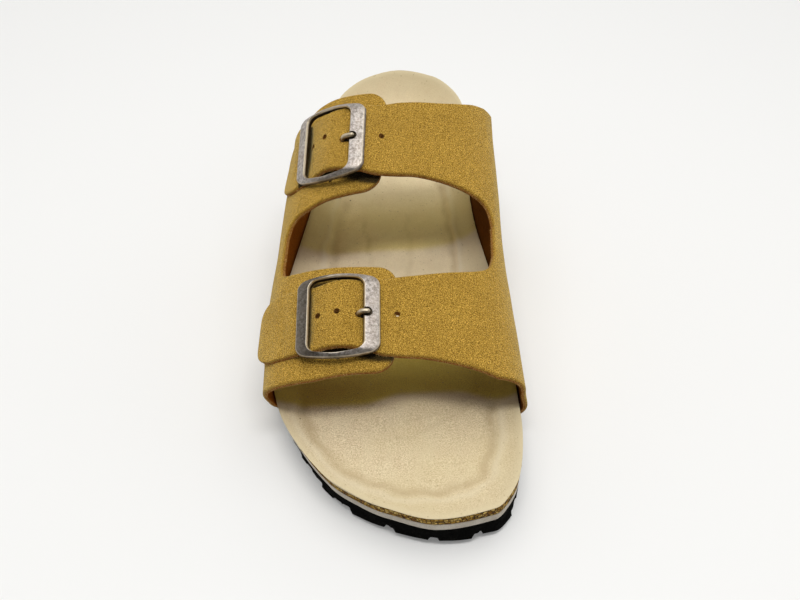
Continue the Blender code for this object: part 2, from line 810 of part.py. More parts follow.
def prong(buckle):
    """Bent pin from the bar up through the strap's hole to the notch in the frame."""
    path = bpy.data.curves.new(buckle.name + "_prong", "CURVE")
    path.dimensions = "3D"
    path.bevel_depth = PRONG_RADIUS * MM
    path.bevel_resolution = 2
    path.use_fill_caps = True
    line = path.splines.new("POLY")
    line.points.add(len(PRONG_STOPS) - 1)
    for point, stop in zip(line.points, PRONG_STOPS):
        point.co = (stop.along * MM, 0, stop.height * MM, 1)
    path.materials.append(MATERIALS["buckle_metal"])
    thing = bpy.data.objects.new(buckle.name + "_prong", path)
    PARTS.objects.link(thing)
    place_with(thing, buckle)
    return thing


def new_material(slot):
    material = bpy.data.materials.new(slot)
    material.use_nodes = True
    shader = material.node_tree.nodes["Principled BSDF"]
    shader.inputs["Base Color"].default_value = (*COLOURS[slot], 1)
    shader.inputs["Roughness"].default_value = 0.35 if slot == "buckle_metal" else 0.85
    shader.inputs["Metallic"].default_value = 1.0 if slot == "buckle_metal" else 0.0
    return material


for old in list(bpy.data.objects):
    bpy.data.objects.remove(old)
PARTS = bpy.data.collections.new("sandal")
CUTTERS = bpy.data.collections.new("cutters")
bpy.context.scene.collection.children.link(PARTS)
bpy.context.scene.collection.children.link(CUTTERS)
MATERIALS = {slot: new_material(slot) for slot in COLOURS}

contour = RIM_COLUMNS + tuple(1 - c for c in reversed(RIM_COLUMNS[:-1]))
outsole = layer("outsole", outsole_top, ground, (0.0, 1.0), (0.0, 1.0), "outsole_rubber")
cut(outsole, cross_grooves())
cut(outsole, long_grooves())
layer("midsole", midsole_top, midsole_bottom, (0.0, 1.0), (0.0, 1.0), "midsole_foam")
layer("footbed", cork_top, cork_bottom, contour, (0.0, 1.0), "cork", leather_seat)
layer("insole", liner_top, liner_bottom, contour, contour, "suede")


def over_buckle(strap, girth, y):
    return strap_lift(BUCKLES[0] if strap == "front" else BUCKLES[1], girth, y)


def flat_on_last(strap, girth, y):
    return 0.0


straps = side_panel(
    "upper", 1, FRONT_STRAP, REAR_STRAP, STRAP_END_RADIUS, STRAP_COLUMNS, MEDIAL_FOOT, over_buckle
)
upper = new_object("upper", straps, "nubuck", PARTS)
tabs = side_panel(
    "outer_panel", -1, FRONT_TAB, REAR_TAB, TAB_END_RADIUS, TAB_COLUMNS, LATERAL_FOOT, flat_on_last
)
outer_panel = new_object("outer_panel", tabs, "nubuck", CUTTERS)
cut(upper, outer_panel, "UNION")
cut(upper, hole_cutters())

for each in BUCKLES:
    buckle_frame(each)
    prong(each)

# The origin is under the middle of the bounding box
root = bpy.data.objects.new("sandal_origin", None)
PARTS.objects.link(root)
for thing in list(PARTS.objects) + list(CUTTERS.objects):
    if thing is not root:
        thing.parent = root
bpy.context.view_layer.update()
scene_graph = bpy.context.evaluated_depsgraph_get()
places = []
for thing in PARTS.objects:
    if thing is not root:
        solid = thing.evaluated_get(scene_graph)
        places.extend(solid.matrix_world @ vertex.co for vertex in solid.to_mesh().vertices)
        solid.to_mesh_clear()
for axis in (0, 1):
    low = min(place[axis] for place in places)
    high = max(place[axis] for place in places)
    root.location[axis] = -(low + high) / 2
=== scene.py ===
"""Looks of a two-strap buckle sandal for the right foot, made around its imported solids.

Lengths are in millimetres: the toe points to -Y, the heel to +Y, the inner (medial) side is +X, the outer
(lateral) side is -X and the ground is z = 0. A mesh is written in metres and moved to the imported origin.
"""

import json
import math
from collections import namedtuple

import bmesh
import bpy
import numpy as np
from mathutils import Euler, Matrix, Vector, noise
from mathutils.kdtree import KDTree


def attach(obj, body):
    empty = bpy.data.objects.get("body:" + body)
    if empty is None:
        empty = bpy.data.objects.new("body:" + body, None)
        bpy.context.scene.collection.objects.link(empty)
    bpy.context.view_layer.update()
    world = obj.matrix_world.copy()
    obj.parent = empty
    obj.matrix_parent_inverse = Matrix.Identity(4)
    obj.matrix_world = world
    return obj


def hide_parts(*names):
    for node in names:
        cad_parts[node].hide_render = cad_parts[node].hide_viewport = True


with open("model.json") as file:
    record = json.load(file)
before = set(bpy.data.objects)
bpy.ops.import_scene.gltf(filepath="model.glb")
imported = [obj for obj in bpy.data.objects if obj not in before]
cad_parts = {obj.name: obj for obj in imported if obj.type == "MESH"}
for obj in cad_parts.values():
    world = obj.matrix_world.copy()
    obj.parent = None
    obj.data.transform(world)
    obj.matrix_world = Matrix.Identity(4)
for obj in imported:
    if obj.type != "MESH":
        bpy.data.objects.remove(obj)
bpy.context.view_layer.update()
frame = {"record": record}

MM = 0.001
WELD = 0.01
TINY = 1e-6
SEED = 7
RANDOM = np.random.default_rng(SEED)
noise.seed_set(SEED)


def table(kind, *rows):
    """Rows of values as named tuples of one kind."""
    return tuple(kind(*row) for row in rows)


# The forefoot rest is at the middle of a tread block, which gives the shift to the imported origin
BLOCK_MIDDLE_X = 5.5
FOREFOOT_REST = next(m for m in frame["record"]["mounts"] if m["name"] == "forefoot_rest")
ORIGIN = np.array([FOREFOOT_REST["pos_m"][0] / MM - BLOCK_MIDDLE_X, 0.0, 0.0])

# Sole
TOE_TIP = (14.0, -136.0)
HEEL_TIP = (0.5, 136.0)
FIT_GAP = 0.3
MIDSOLE_THICK = 4.0
LINER_THICK = 1.2
LINER_EDGE_THICK = 0.25
LINER_EDGE_RUN = 7.0
LINER_DROOP = 1.9
LINER_DROOP_X = -2.0
LINER_DROOP_X_RUN = 22.0
LINER_DROOP_Y = -70.0
LINER_DROOP_Y_RUN = 15.0
LUG_STEP = 1.1
LUG_PROUD = 0.45
LUG_RISE = 0.6
LUG_FROM = 0.35
LUG_ROW = 1.17
TOE_FLARE = 1.0
TOE_FLARE_FROM = -92.0
TOE_FLARE_RUN = 34.0
RIM_ROLL = 1.2
RIM_ROLL_TOE = 0.3
RIM_ROLL_FROM = -90.0
RIM_ROLL_RUN = 40.0
RIM_ROLL_WIDTH = 2.5
UNDERCUT_ENDS = 1.4
UNDERCUT_SIDES = 2.7
UNDERCUT_SKEW = 1.9
OVERHANG_FROM = -86.0
OVERHANG_RUN = 16.0
OVERHANG_EXTRA = 1.1
OUTLINE_STEPS = 16
NORMAL_STEP = 1.0
RIM_BATCH = 4000
TOE_HOLLOW = 1.35
HEEL_HOLLOW = 0.5
HEEL_HOLLOW_FROM = -20.0
HEEL_HOLLOW_RUN = 110.0
MOUND_CLEAR = 12.0

Rim = namedtuple("Rim", "y lateral medial")
RIM = table(
    Rim,
    (-131, -5.2, 37.2), (-126, -15.7, 42.4), (-116, -29.2, 47.4), (-96, -43.6, 50.2), (-76, -51.0, 49.6),
    (-56, -53.4, 48.9), (-41, -53.2, 47.6), (-16, -50.4, 43.1), (14, -44.8, 36.5), (39, -40.2, 34.2),
    (64, -37.3, 34.4), (89, -35.9, 35.4), (109, -32.1, 33.2), (122, -24.8, 27.3), (131, -14.4, 18.3),
)

Level = namedtuple("Level", "y ground outsole floor rim_lateral rim_medial slope")
LEVELS = table(
    Level,
    (-136, 3.2, 8.0, 18.4, 20.5, 20.5, 12), (-112, 0.9, 7.5, 16.4, 20.2, 20.2, 12),
    (-92, 0.0, 7.5, 15.7, 20.0, 20.0, 12), (-55, 0.0, 7.5, 15.4, 20.5, 21.0, 13),
    (-20, 0.0, 8.0, 17.0, 22.5, 25.5, 15), (12, 2.0, 7.0, 19.0, 26.5, 32.0, 15),
    (48, 0.0, 10.0, 20.5, 31.0, 35.5, 17), (95, 0.0, 11.0, 21.5, 35.2, 36.0, 19),
    (122, 0.0, 11.0, 23.0, 36.8, 36.8, 20), (136, 1.5, 9.5, 25.0, 37.4, 37.4, 20),
)

Mound = namedtuple("Mound", "x y height half_x half_y")
MOUNDS = table(
    Mound,
    (-3, -12, 2.0, 17, 17), (24, 18, 3.0, 10, 28), (4, -88, 0.8, 30, 7),
)

# Tread
GROOVE_DEPTH = 2.6
GROOVE_ROOT = 1.3
GROOVE_MOUTH = 2.3
GROOVE_BELOW = 1.0
GROOVE_HALF_SPAN = 70.0
GROOVE_PITCH = 17.0
CROSS_GROOVE_FIRST = -117.0
CROSS_GROOVES = 15
LONG_GROOVE_STEP = 8.0
LongGroove = namedtuple("LongGroove", "x y_from y_to")
LONG_GROOVES = table(
    LongGroove,
    (-20, -145, 145), (-3, -145, 145), (14, -145, 145), (31, -145, -32),
)

# Last: inner face of the leather across the foot
Last = namedtuple("Last", "y crown_x crown_z medial_x medial_z lateral_x lateral_z")
LAST = table(
    Last,
    (-100, 3, 43.0, 50.0, 29, -50.0, 27), (-80, 3, 48.0, 48.8, 31, -52.0, 28),
    (-50, 4, 57.0, 46.1, 37, -52.3, 33), (-20, 5, 65.0, 43.4, 45, -50.0, 40),
    (5, 6, 71.5, 42.8, 52, -48.4, 46), (30, 8, 79.0, 42.0, 57, -46.2, 50),
    (55, 9, 88.0, 41.0, 62, -46.6, 54),
)
INSTEP_SQUARENESS = 2.5
LEATHER = 2.3
RIM_CLEAR = 0.9
SQUARE_FOOT = 8.0
RIM_BELOW_SPRING = 4.0
WALL_STEPS = 25
ARCH_STEPS = 60
SECTION_Y = np.arange(-104.0, 62.0, 0.5)
SECTION_GIRTH = np.arange(-112.0, 112.0, 0.25)
TABLE_END = 1.001

# Straps and tabs: where their front and rear edges lie, by girth from the crown (medial side positive)
Band = namedtuple("Band", "girth front rear")
FRONT_STRAP = table(
    Band,
    (-60.5, -76.4, -47.2), (-44, -79.0, -51.4), (-34, -80.0, -52.6), (-26, -80.5, -52.0),
    (-18, -80.6, -51.4), (-12, -81.2, -50.2), (-7, -81.8, -48.9), (5, -81.8, -47.0), (15, -82.9, -45.3),
    (24, -84.3, -43.6), (30, -85.5, -41.4), (34, -86.4, -37.5), (36, -87.0, -31.0),
)
REAR_STRAP = table(
    Band,
    (-60.5, 4.4, 32.5), (-50, 2.4, 32.2), (-40, 2.8, 29.5), (-30, 1.2, 29.3), (-22, -0.8, 29.9),
    (-14, -1.3, 32.6), (-7, -0.7, 35.3), (1, 0.1, 36.8), (10, -1.0, 37.5), (18, -2.8, 39.0),
    (25, -4.8, 41.5), (30, -6.8, 43.0), (34, -10.5, 44.0), (36, -17.0, 44.5),
)
FRONT_TAB = table(
    Band,
    (-54.5, -87.4, -34.0), (-53.5, -87.6, -37.8), (-50, -88.2, -39.8), (-43, -89.0, -41.0),
    (-36, -89.2, -41.5), (-28, -88.3, -42.0), (-20, -87.7, -42.6), (-4, -87.5, -43.6),
)
REAR_TAB = table(
    Band,
    (-54.5, -19.0, 41.0), (-52.5, -13.8, 41.2), (-48.5, -10.8, 41.8), (-43.5, -9.4, 43.4),
    (-36, -7.4, 44.4), (-28, -6.4, 44.2), (-20, -5.6, 43.8), (-13, -5.0, 43.0),
)
MEDIAL_FOOT = Band(0, -82.5, 48.0)
LATERAL_FOOT = Band(0, -78.5, 45.0)
SEAT_RUN = 9.0
SEAT_FRONT_LEAD = 6.0
SEAT_REAR_LEAD = 1.0
STRAP_END_RADIUS = 9.0
TAB_END_RADIUS = 8.0

# Buckles: centre of the frame, its turn about X, Y and Z in degrees, how far the strap's tail stands off, how
# dark its outer rail is painted for its dim reflection (painted shade), and how far its prong comes up short
# of the usual place
Buckle = namedtuple("Buckle", "name centre turn tail_flare patina prong_back")
BUCKLES = (
    Buckle("front", (-23.6, -66.9, 57.7), (14.4, -7.6, -1.0), 2.0, 0.85, -0.2),
    Buckle("rear", (-29.8, 14.9, 79.0), (22.0, -27.0, -12.0), 0.3, 0.0, 1.4),
)
FRAME_LENGTH = 33.4
FRAME_WIDTH = 37.3
FRAME_CORNER = 3.6
FRAME_BARREL = 2.7
FRAME_BEND = 200.0
FRAME_RISE = 0.4
WINDOW_LENGTH = 21.9
WINDOW_SHIFT = -0.5
WINDOW_WIDTH = 33.2
WINDOW_CORNER = 3.5
FRAME_THICK = 2.0
END_RAIL_SLOPE = 0.28
SIDE_RAIL_SLOPE = 0.8
RIDGE_INSET = 0.74
NEAR_RAIL_SHADE = 0.75
BAR_RADIUS = 1.0
BAR_DROP = 2.7
BAR_PAST_POST = 0.4
POST_OUT = 17.4
POST_RADIUS = 0.85
NOTCH_FOOT_RADIUS = 1.89
NOTCH_MOUTH_RADIUS = 2.73
NOTCH_IN = 1.6
NOTCH_REACH = 4.0
NOTCH_FLOOR = -0.2
PRONG_RADIUS = 1.1
ProngStop = namedtuple("ProngStop", "along height")
PRONG_STOPS = table(
    ProngStop,
    (1.8, -3.6), (6.0, -3.7), (7.6, -2.5), (8.3, -0.6), (9.2, 0.8), (10.6, 1.35), (13.2, 0.9),
)
PRONG_TIP_RADIUS = 0.05
# Painted highlight along the prong's top, and painted shade on its sides and more on its underside
PRONG_HIGHLIGHT = 0.9
PRONG_SIDE_SHADE = 0.35
PRONG_SHADE_BELOW = 0.4
STRAP_OVER_BAR = 0.35
STRAP_PASSES = 3
STRAP_LEAST_TILT = 0.2
STRAP_SAG = 4.2
STRAP_SAG_REACH = 18.0
STRAP_DIP = 1.0
STRAP_DIP_WIDTH = 1.4
STRAP_DIP_SPAN = 14.0
STRAP_DIP_FADE = 6.0
STRAP_DOWN_FROM = 13.0
STRAP_DOWN_RUN = 7.5
TAIL_BITE = 0.5
TAIL_DOWN_FROM = 13.0
TAIL_DOWN_RUN = 10.0
TAIL_FLARE_FROM = 27.0
TAIL_FLARE_RUN = 9.0

# Shade painted on the leather beneath the buckles
PAINTED_SHADE_WIDTH = 0.9
PAINTED_SHADE_FADE = 2.0
PAINTED_SHADE_FAR = 19.0
PAINTED_SHADE_NEAR = 16.0
PAINTED_SHADE_CORNER = 20.0

# Strap holes
Hole = namedtuple("Hole", "strap girth y")
HOLES = table(
    Hole,
    ("front", -33.6, -66.0), ("front", -26.2, -66.0), ("front", -11.3, -65.2), ("front", -3.5, -64.8),
    ("rear", -42.7, 18.8), ("rear", -36.4, 18.3), ("rear", -20.8, 16.4), ("rear", -13.6, 16.4),
)
HOLE_RADIUS = 1.15
HOLE_SIDES = 24
HOLE_BELOW = 0.8
HOLE_ABOVE = 1.5
SLOT_FROM = 8.1
SLOT_TO = 10.2
SLOT_RADIUS = 1.35
SLOT_BOTTOM = -4.3
SLOT_TOP = 2.5

# Fineness of the meshes
STRAP_COLUMNS = 200
TAB_COLUMNS = 66
PANEL_COLUMNS = 50
BAND_ROWS = 42
WINDOW_ROWS = 36
TIP_CROWDING = 0.13
EDGE_CROWDING = 0.125
WINDOW_CROWDING = 1.4
SOLE_ROWS = 260
LINER_COLUMNS = 90
CORK_COLUMNS = 48
SIDE_ROWS = 12
FRAME_STEPS = 10
PRONG_SIDES = 16
PRONG_RINGS = 42
NOTCH_SIDES = 40
BAR_SIDES = 20
FLAT_COLUMNS = 2
TREAD_ROWS = 8

# Angles in degrees past which an edge stays sharp
SHARP_SOLE = 50
SHARP_TREAD = 30
SHARP_LEATHER = 42
SHARP_FRAME = 38
SHARP_PRONG = 50

# Unevenness of the sole's side: height and run of the rough tread and cork, and the swell of the pale band
TREAD_ROUGH = (0.45, 2.6)
CORK_ROUGH = (0.4, 1.3)
MIDSOLE_SWELL = 0.25

# Leather: rounding of its edges, its slow swell and its loose fibres
NAP_ROUND = 0.85
FLESH_ROUND = 0.35
CUT_BULGE = 0.12
SOFT_WAVE = 0.16
SOFT_WAVE_RUN = 15.0
SOFT_WAVE_FADE = 4.0
EDGE_SAMPLE = 0.1
FIBRES_PER_MM = 7.0
FIBRE_LENGTH = 0.55
FIBRE_WIDTH = 0.045
FIBRE_LENGTHS = (0.35, 1.3)
FIBRE_LEAN = 0.55
FIBRE_SPREAD = 0.42

# Soft lines pressed into the suede, which wander a little: depth is down, a negative depth is a ridge
WANDER = 2.0
WANDER_RUN = 9.0
Crease = namedtuple("Crease", "depth half_width line")
TOE_LINE = (
    (43, -80), (42, -96), (38, -113), (28, -123.5), (15, -126.5), (-2, -125.5), (-16.3, -120),
    (-26.3, -112), (-37.3, -97.5), (-43, -80),
)
TOE_STEP = (
    (39, -80), (37.3, -100), (33.7, -113.4), (25.7, -120.5), (14.9, -122.8), (-1.3, -121.8),
    (-14.3, -116.7), (-23.3, -109.6), (-33.5, -96), (-39, -80),
)
LINER_CREASES = table(
    Crease,
    (-0.4, 2.4, TOE_LINE), (0.7, 2.4, TOE_STEP), (-0.6, 1.2, ((23, 60), (25.5, 42), (28, 10), (29.5, -30))),
    (0.5, 1.6, ((20, 58), (22.5, 40), (25.3, 8), (27, -30))),
    (-0.6, 1.4, ((-25, 62), (-28.9, 46), (-34, 14), (-35, -16))),
    (0.5, 2.2, ((-25, 42), (-29, 20), (-31, 0))), (0.3, 1.4, ((30, -78), (14, -92), (-2, -97))),
    (0.25, 1.2, ((34, -70), (20, -83), (4, -88))), (0.4, 1.6, ((-16, 28), (-13, 8), (-12, -14))),
    (0.3, 1.5, ((4, 34), (6, 12), (5, -10))),
)

# Shadow painted on the suede under each strap, warm as the light that reaches it there: its front line and
# how soon it sets in there, where it ends and how soon it runs out there, and how strong it is
StrapShadow = namedtuple("StrapShadow", "front fade y_to run_out strength")
STRAP_SHADOWS = (
    StrapShadow(((-45, -80), (-15, -79), (2, -73), (25, -72), (40, -76)), 4.0, -44.0, 4.0, 1.0),
    StrapShadow(((-40, 7), (0, 10.5), (30, 11.5)), 5.0, 45.0, 40.0, 0.6),
)

# Small bumps on the suede's rim round the toe
PinBump = namedtuple("PinBump", "x y height radius")
PIN_BUMPS = (
    PinBump(44.6, -92.0, 0.35, 0.9),
    PinBump(38.8, -112.5, 0.35, 0.9),
)

# Camera of the photograph, fitted to the rim, straps and buckles
CAMERA_PLACE = (0.088, -334.24, 345.49)
CAMERA_YAW = 0.179
CAMERA_PITCH = 46.275
CAMERA_ROLL = 0.218
CAMERA_LENS = 45.0
CAMERA_SENSOR = 36.0

# Light: lamps with place and size in metres, and the gain of the surround between two places along an axis
LIGHT_TONE = (1.0, 0.995, 0.98)
Lamp = namedtuple("Lamp", "name place size power")
LAMPS = (
    Lamp("panel", (0.0, 0.05, 1.15), (1.5, 1.3), 8.3),
    Lamp("front_strip", (0.03, -0.28, 1.1), (0.6, 0.16), 4.6),
)
Gain = namedtuple("Gain", "axis start end at_start at_end")
SURROUND = (
    Gain("Y", -0.6, 0.0, 0.02, 0.52),
    Gain("Z", 0.3, 0.65, 2.1, 0.7),
    Gain("X", 0.1, 0.7, 1.0, 1.3),
)
FLOOR_HALF = 3.0
FLOOR_TONE = (0.69, 0.69, 0.685)
FLOOR_GLOW_TONE = (0.93, 0.93, 0.92)
FLOOR_GLOW = 0.18


def hermite(start, end, leaving, arriving, t):
    """Cubic from start to end with the given slopes at its ends."""
    return (
        start * (1 + 2 * t) * (1 - t) ** 2
        + leaving * t * (1 - t) ** 2
        + end * t * t * (3 - 2 * t)
        + arriving * t * t * (t - 1)
    )


def smooth(xs, ys, x, flat_end=False):
    """Monotone cubic through a table, so flats stay flat."""
    xs = np.asarray(xs, float)
    ys = np.asarray(ys, float)
    step = np.diff(xs)
    slope = np.diff(ys) / step
    tangent = np.zeros(len(xs))
    for i in range(1, len(xs) - 1):
        if slope[i - 1] * slope[i] > 0:
            before = 2 * step[i] + step[i - 1]
            after = step[i] + 2 * step[i - 1]
            tangent[i] = (before + after) / (before / slope[i - 1] + after / slope[i])
    tangent[0] = slope[0]
    tangent[-1] = 0.0 if flat_end else slope[-1]
    i = np.clip(np.searchsorted(xs, x) - 1, 0, len(xs) - 2)
    t = (np.asarray(x, float) - xs[i]) / step[i]
    return hermite(ys[i], ys[i + 1], tangent[i] * step[i], tangent[i + 1] * step[i], t)


def column(rows, name):
    return [getattr(row, name) for row in rows]


def level(name, y):
    return smooth(column(LEVELS, "y"), column(LEVELS, name), np.clip(y, TOE_TIP[1], HEEL_TIP[1]))


def band(edges, name, girth):
    return smooth(column(edges, "girth"), column(edges, name), girth)


def ease(t):
    t = np.clip(t, 0.0, 1.0)
    return t * t * (3 - 2 * t)


def unit(vectors):
    return vectors / np.maximum(np.linalg.norm(vectors, axis=-1), TINY)[..., None]


def run_along(points):
    """Distance along a line of points from its start."""
    return np.concatenate([[0.0], np.cumsum(np.linalg.norm(np.diff(points, axis=0), axis=1))])


def crowded(count, crowding):
    """Shares from 0 to 1, crowded towards both ends."""
    share = np.linspace(0, 1, count + 1)
    return share - crowding * np.sin(2 * math.pi * share)


def ring_faces(rings, count, closed=False):
    """Quads between rings of corners, with caps on the end rings or the last ring joined to the first."""
    faces = []
    for i in range(rings if closed else rings - 1):
        low = i * count
        high = (i + 1) % rings * count
        for k in range(count):
            n = (k + 1) % count
            faces.append([low + k, low + n, high + n, high + k])
    if not closed:
        faces.append(list(range(count)))
        faces.append([(rings - 1) * count + k for k in range(count)])
    return faces


def sole_outline():
    """Dense outline of the rim as two halves, toe tip to heel tip."""
    lateral = [TOE_TIP] + [(row.lateral, row.y) for row in RIM] + [HEEL_TIP]
    medial = [(row.medial, row.y) for row in reversed(RIM)]
    loop = [np.array(p) for p in lateral + medial]
    count = len(loop)
    dense = []
    for i in range(count):
        before, start, end, after = (loop[(i + k) % count] for k in (-1, 0, 1, 2))
        chord = np.linalg.norm(end - start)
        leaving = unit(end - before) * chord
        arriving = unit(after - start) * chord
        for k in range(OUTLINE_STEPS):
            dense.append(hermite(start, end, leaving, arriving, k / OUTLINE_STEPS))
    dense = np.array(dense)
    heel = OUTLINE_STEPS * (len(RIM) + 1)
    return dense[: heel + 1], np.vstack([dense[heel:], dense[:1]])[::-1]


LATERAL_HALF, MEDIAL_HALF = sole_outline()
RIM_LOOP = np.vstack([LATERAL_HALF, MEDIAL_HALF])


def outline_points(half, side):
    """Points and outward normals along one half of the rim, evenly spaced from toe to heel."""
    run = run_along(half)
    place = np.linspace(0, run[-1], SOLE_ROWS + 1)

    def at(distance):
        return np.stack([np.interp(distance, run, half[:, 0]), np.interp(distance, run, half[:, 1])], 1)

    along = at(np.minimum(place + NORMAL_STEP, run[-1])) - at(np.maximum(place - NORMAL_STEP, 0.0))
    along = unit(along)
    normal = np.stack([-along[:, 1], along[:, 0]], 1) * side
    normal[0] = (0.0, -1.0)
    normal[-1] = (0.0, 1.0)
    return at(place), normal


LATERAL_EDGE = outline_points(LATERAL_HALF, 1.0)
MEDIAL_EDGE = outline_points(MEDIAL_HALF, -1.0)


def rim_x(half, y):
    return np.interp(y, half[:, 1], half[:, 0])


def rim_height(x, y):
    lateral = rim_x(LATERAL_HALF, y)
    medial = rim_x(MEDIAL_HALF, y)
    across = (x - lateral) / np.maximum(medial - lateral, TINY)
    return level("rim_lateral", y) + (level("rim_medial", y) - level("rim_lateral", y)) * ease(across)


def ground(x, y):
    return level("ground", y)


def outsole_top(x, y):
    return level("ground", y) + level("outsole", y)


def midsole_bottom(x, y):
    return outsole_top(x, y) + FIT_GAP


def midsole_top(x, y):
    return midsole_bottom(x, y) + MIDSOLE_THICK


def cork_bottom(x, y):
    return midsole_top(x, y) + FIT_GAP


def rim_distance(x, y):
    """Distance of each place to the rim's outline."""
    flat_x = np.ravel(x)
    flat_y = np.ravel(y)
    nearest = np.empty(len(flat_x))
    for part in np.array_split(np.arange(len(flat_x)), max(1, len(flat_x) // RIM_BATCH)):
        dx = flat_x[part, None] - RIM_LOOP[:, 0]
        dy = flat_y[part, None] - RIM_LOOP[:, 1]
        nearest[part] = np.sqrt((dx * dx + dy * dy).min(1))
    return nearest.reshape(np.shape(x))


def liner_top(x, y):
    """Top of the suede: floor, sloping rim with a rolled edge, and the raised places."""
    edge = rim_distance(x, y)
    floor = level("floor", y)
    share = np.maximum(0.0, 1 - edge / level("slope", y))
    hollow = TOE_HOLLOW + HEEL_HOLLOW * ease((y - HEEL_HOLLOW_FROM) / HEEL_HOLLOW_RUN)
    height = floor + (rim_height(x, y) - floor) * share**hollow
    roll = RIM_ROLL_TOE + (RIM_ROLL - RIM_ROLL_TOE) * ease((y - RIM_ROLL_FROM) / RIM_ROLL_RUN)
    height = height - roll * np.maximum(0.0, 1 - edge / RIM_ROLL_WIDTH) ** 2
    inside = ease(edge / MOUND_CLEAR)
    for mound in MOUNDS:
        across = (x - mound.x) / mound.half_x
        along = (y - mound.y) / mound.half_y
        height = height + inside * mound.height * np.exp(-across * across - along * along)
    return height


def liner_bottom(x, y):
    droop = ease((LINER_DROOP_X - x) / LINER_DROOP_X_RUN) * ease((LINER_DROOP_Y - y) / LINER_DROOP_Y_RUN)
    edge = LINER_EDGE_THICK + LINER_DROOP * droop
    thick = edge + (LINER_THICK - edge) * ease(rim_distance(x, y) / LINER_EDGE_RUN)
    return liner_top(x, y) - thick


def cork_top(x, y):
    return liner_bottom(x, y) - FIT_GAP


def line_distance(x, y, line):
    """Distance of each place to a line through points."""
    nearest = np.full(np.shape(x), np.inf)
    for start, end in zip(line, line[1:]):
        run_x = end[0] - start[0]
        run_y = end[1] - start[1]
        t = np.clip(((x - start[0]) * run_x + (y - start[1]) * run_y) / (run_x**2 + run_y**2), 0, 1)
        nearest = np.minimum(nearest, np.hypot(x - start[0] - t * run_x, y - start[1] - t * run_y))
    return nearest


def pressed(x, y):
    """Depth of the lines that wear has pressed into the suede."""
    depth = np.zeros(np.shape(x))
    wander = [noise.noise_vector(Vector((a, b, 0.0)) / WANDER_RUN) for a, b in zip(np.ravel(x), np.ravel(y))]
    wander = np.array(wander).reshape(*np.shape(x), 3) * WANDER
    x = x + wander[..., 0]
    y = y + wander[..., 1]
    for crease in LINER_CREASES:
        share = line_distance(x, y, crease.line) / crease.half_width
        depth = depth + crease.depth * np.exp(-share * share)
    return depth


def painted_shadow(x, y):
    """How much shadow of the straps is painted on the suede."""
    share = np.zeros(np.shape(x))
    for dye in STRAP_SHADOWS:
        front = smooth([p[0] for p in dye.front], [p[1] for p in dye.front], x)
        start = ease((y - front) / dye.fade + 0.5)
        share = share + dye.strength * start * ease((dye.y_to - y) / dye.run_out + 0.5)
    return share


def suede_marks(points):
    """What the suede's looks follow: pressed lines, distance to the rim and the shadow painted under the
    straps.
    """
    x = points[:, 0]
    y = points[:, 1]
    return {"press": pressed(x, y), "rim": rim_distance(x, y), "dye": painted_shadow(x, y)}


def worn_liner_top(x, y):
    """Top of the suede with its pressed lines and small bumps."""
    height = liner_top(x, y) - pressed(x, y)
    for bump in PIN_BUMPS:
        share = np.hypot(x - bump.x, y - bump.y) / bump.radius
        height = height + bump.height * np.exp(-share * share)
    return height


def undercut(points, normals, height):
    """How far the tapering side of the sole stands inside the rim at a height."""
    rim = rim_height(points[:, 0], points[:, 1])
    low = ground(points[:, 0], points[:, 1])
    share = np.clip((rim - height) / (rim - low), 0, 1)
    sideways = normals[:, 0]
    most = UNDERCUT_ENDS + (UNDERCUT_SIDES - UNDERCUT_ENDS) * sideways**2 - UNDERCUT_SKEW * sideways
    overhang = ease((OVERHANG_FROM - points[:, 1]) / OVERHANG_RUN) * np.maximum(-sideways, 0.0)
    return most * (share + (np.sqrt(share) - share) * overhang) + OVERHANG_EXTRA * overhang * share


def leather_seat(y):
    """How far the side of the cork steps in to seat the leather, along the length of the upper."""
    front = ease((y - LATERAL_FOOT.front + SEAT_RUN + SEAT_FRONT_LEAD) / SEAT_RUN)
    rear = ease((MEDIAL_FOOT.rear + SEAT_RUN + SEAT_REAR_LEAD - y) / SEAT_RUN)
    return (LEATHER + FIT_GAP) * front * rear


def write_mesh(name, vertices, faces, kinds=None, values=None):
    """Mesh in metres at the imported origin, with outward normals, from millimetres."""
    mesh = bpy.data.meshes.new(name)
    places = (np.asarray(vertices, float) + ORIGIN) * MM
    mesh.from_pydata(places.tolist(), [], faces)
    if kinds is not None:
        mesh.polygons.foreach_set("material_index", np.asarray(kinds, np.int32))
    for label, numbers in (values or {}).items():
        attribute = mesh.attributes.new(label, "FLOAT", "POINT")
        attribute.data.foreach_set("value", np.asarray(numbers, np.float32))
    work = bmesh.new()
    work.from_mesh(mesh)
    bmesh.ops.remove_doubles(work, verts=work.verts, dist=WELD * MM)
    bmesh.ops.recalc_face_normals(work, faces=work.faces)
    work.to_mesh(mesh)
    work.free()
    return mesh


def add_object(name, mesh, materials):
    thing = bpy.data.objects.new(name, mesh)
    bpy.context.scene.collection.objects.link(thing)
    for material in materials:
        mesh.materials.append(material)
    return thing


def boolean(thing, cutter, operation="DIFFERENCE"):
    """Cut or join a mesh with another and remove the other."""
    modifier = thing.modifiers.new("boolean", "BOOLEAN")
    modifier.operation = operation
    modifier.solver = "EXACT"
    modifier.object = cutter
    graph = bpy.context.evaluated_depsgraph_get()
    made = bpy.data.meshes.new_from_object(thing.evaluated_get(graph))
    thing.modifiers.clear()
    old = thing.data
    thing.data = made
    bpy.data.meshes.remove(old)
    bpy.data.objects.remove(cutter)


def shade(mesh, degrees):
    mesh.shade_smooth()
    mesh.set_sharp_from_angle(angle=math.radians(degrees))


def dress(thing, node):
    """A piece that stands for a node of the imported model."""
    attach(thing, "root")
    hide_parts(node)


# Node materials

# Length in metres over which a place along an axis runs from 0 to 1
PLACE_SPAN = 0.2


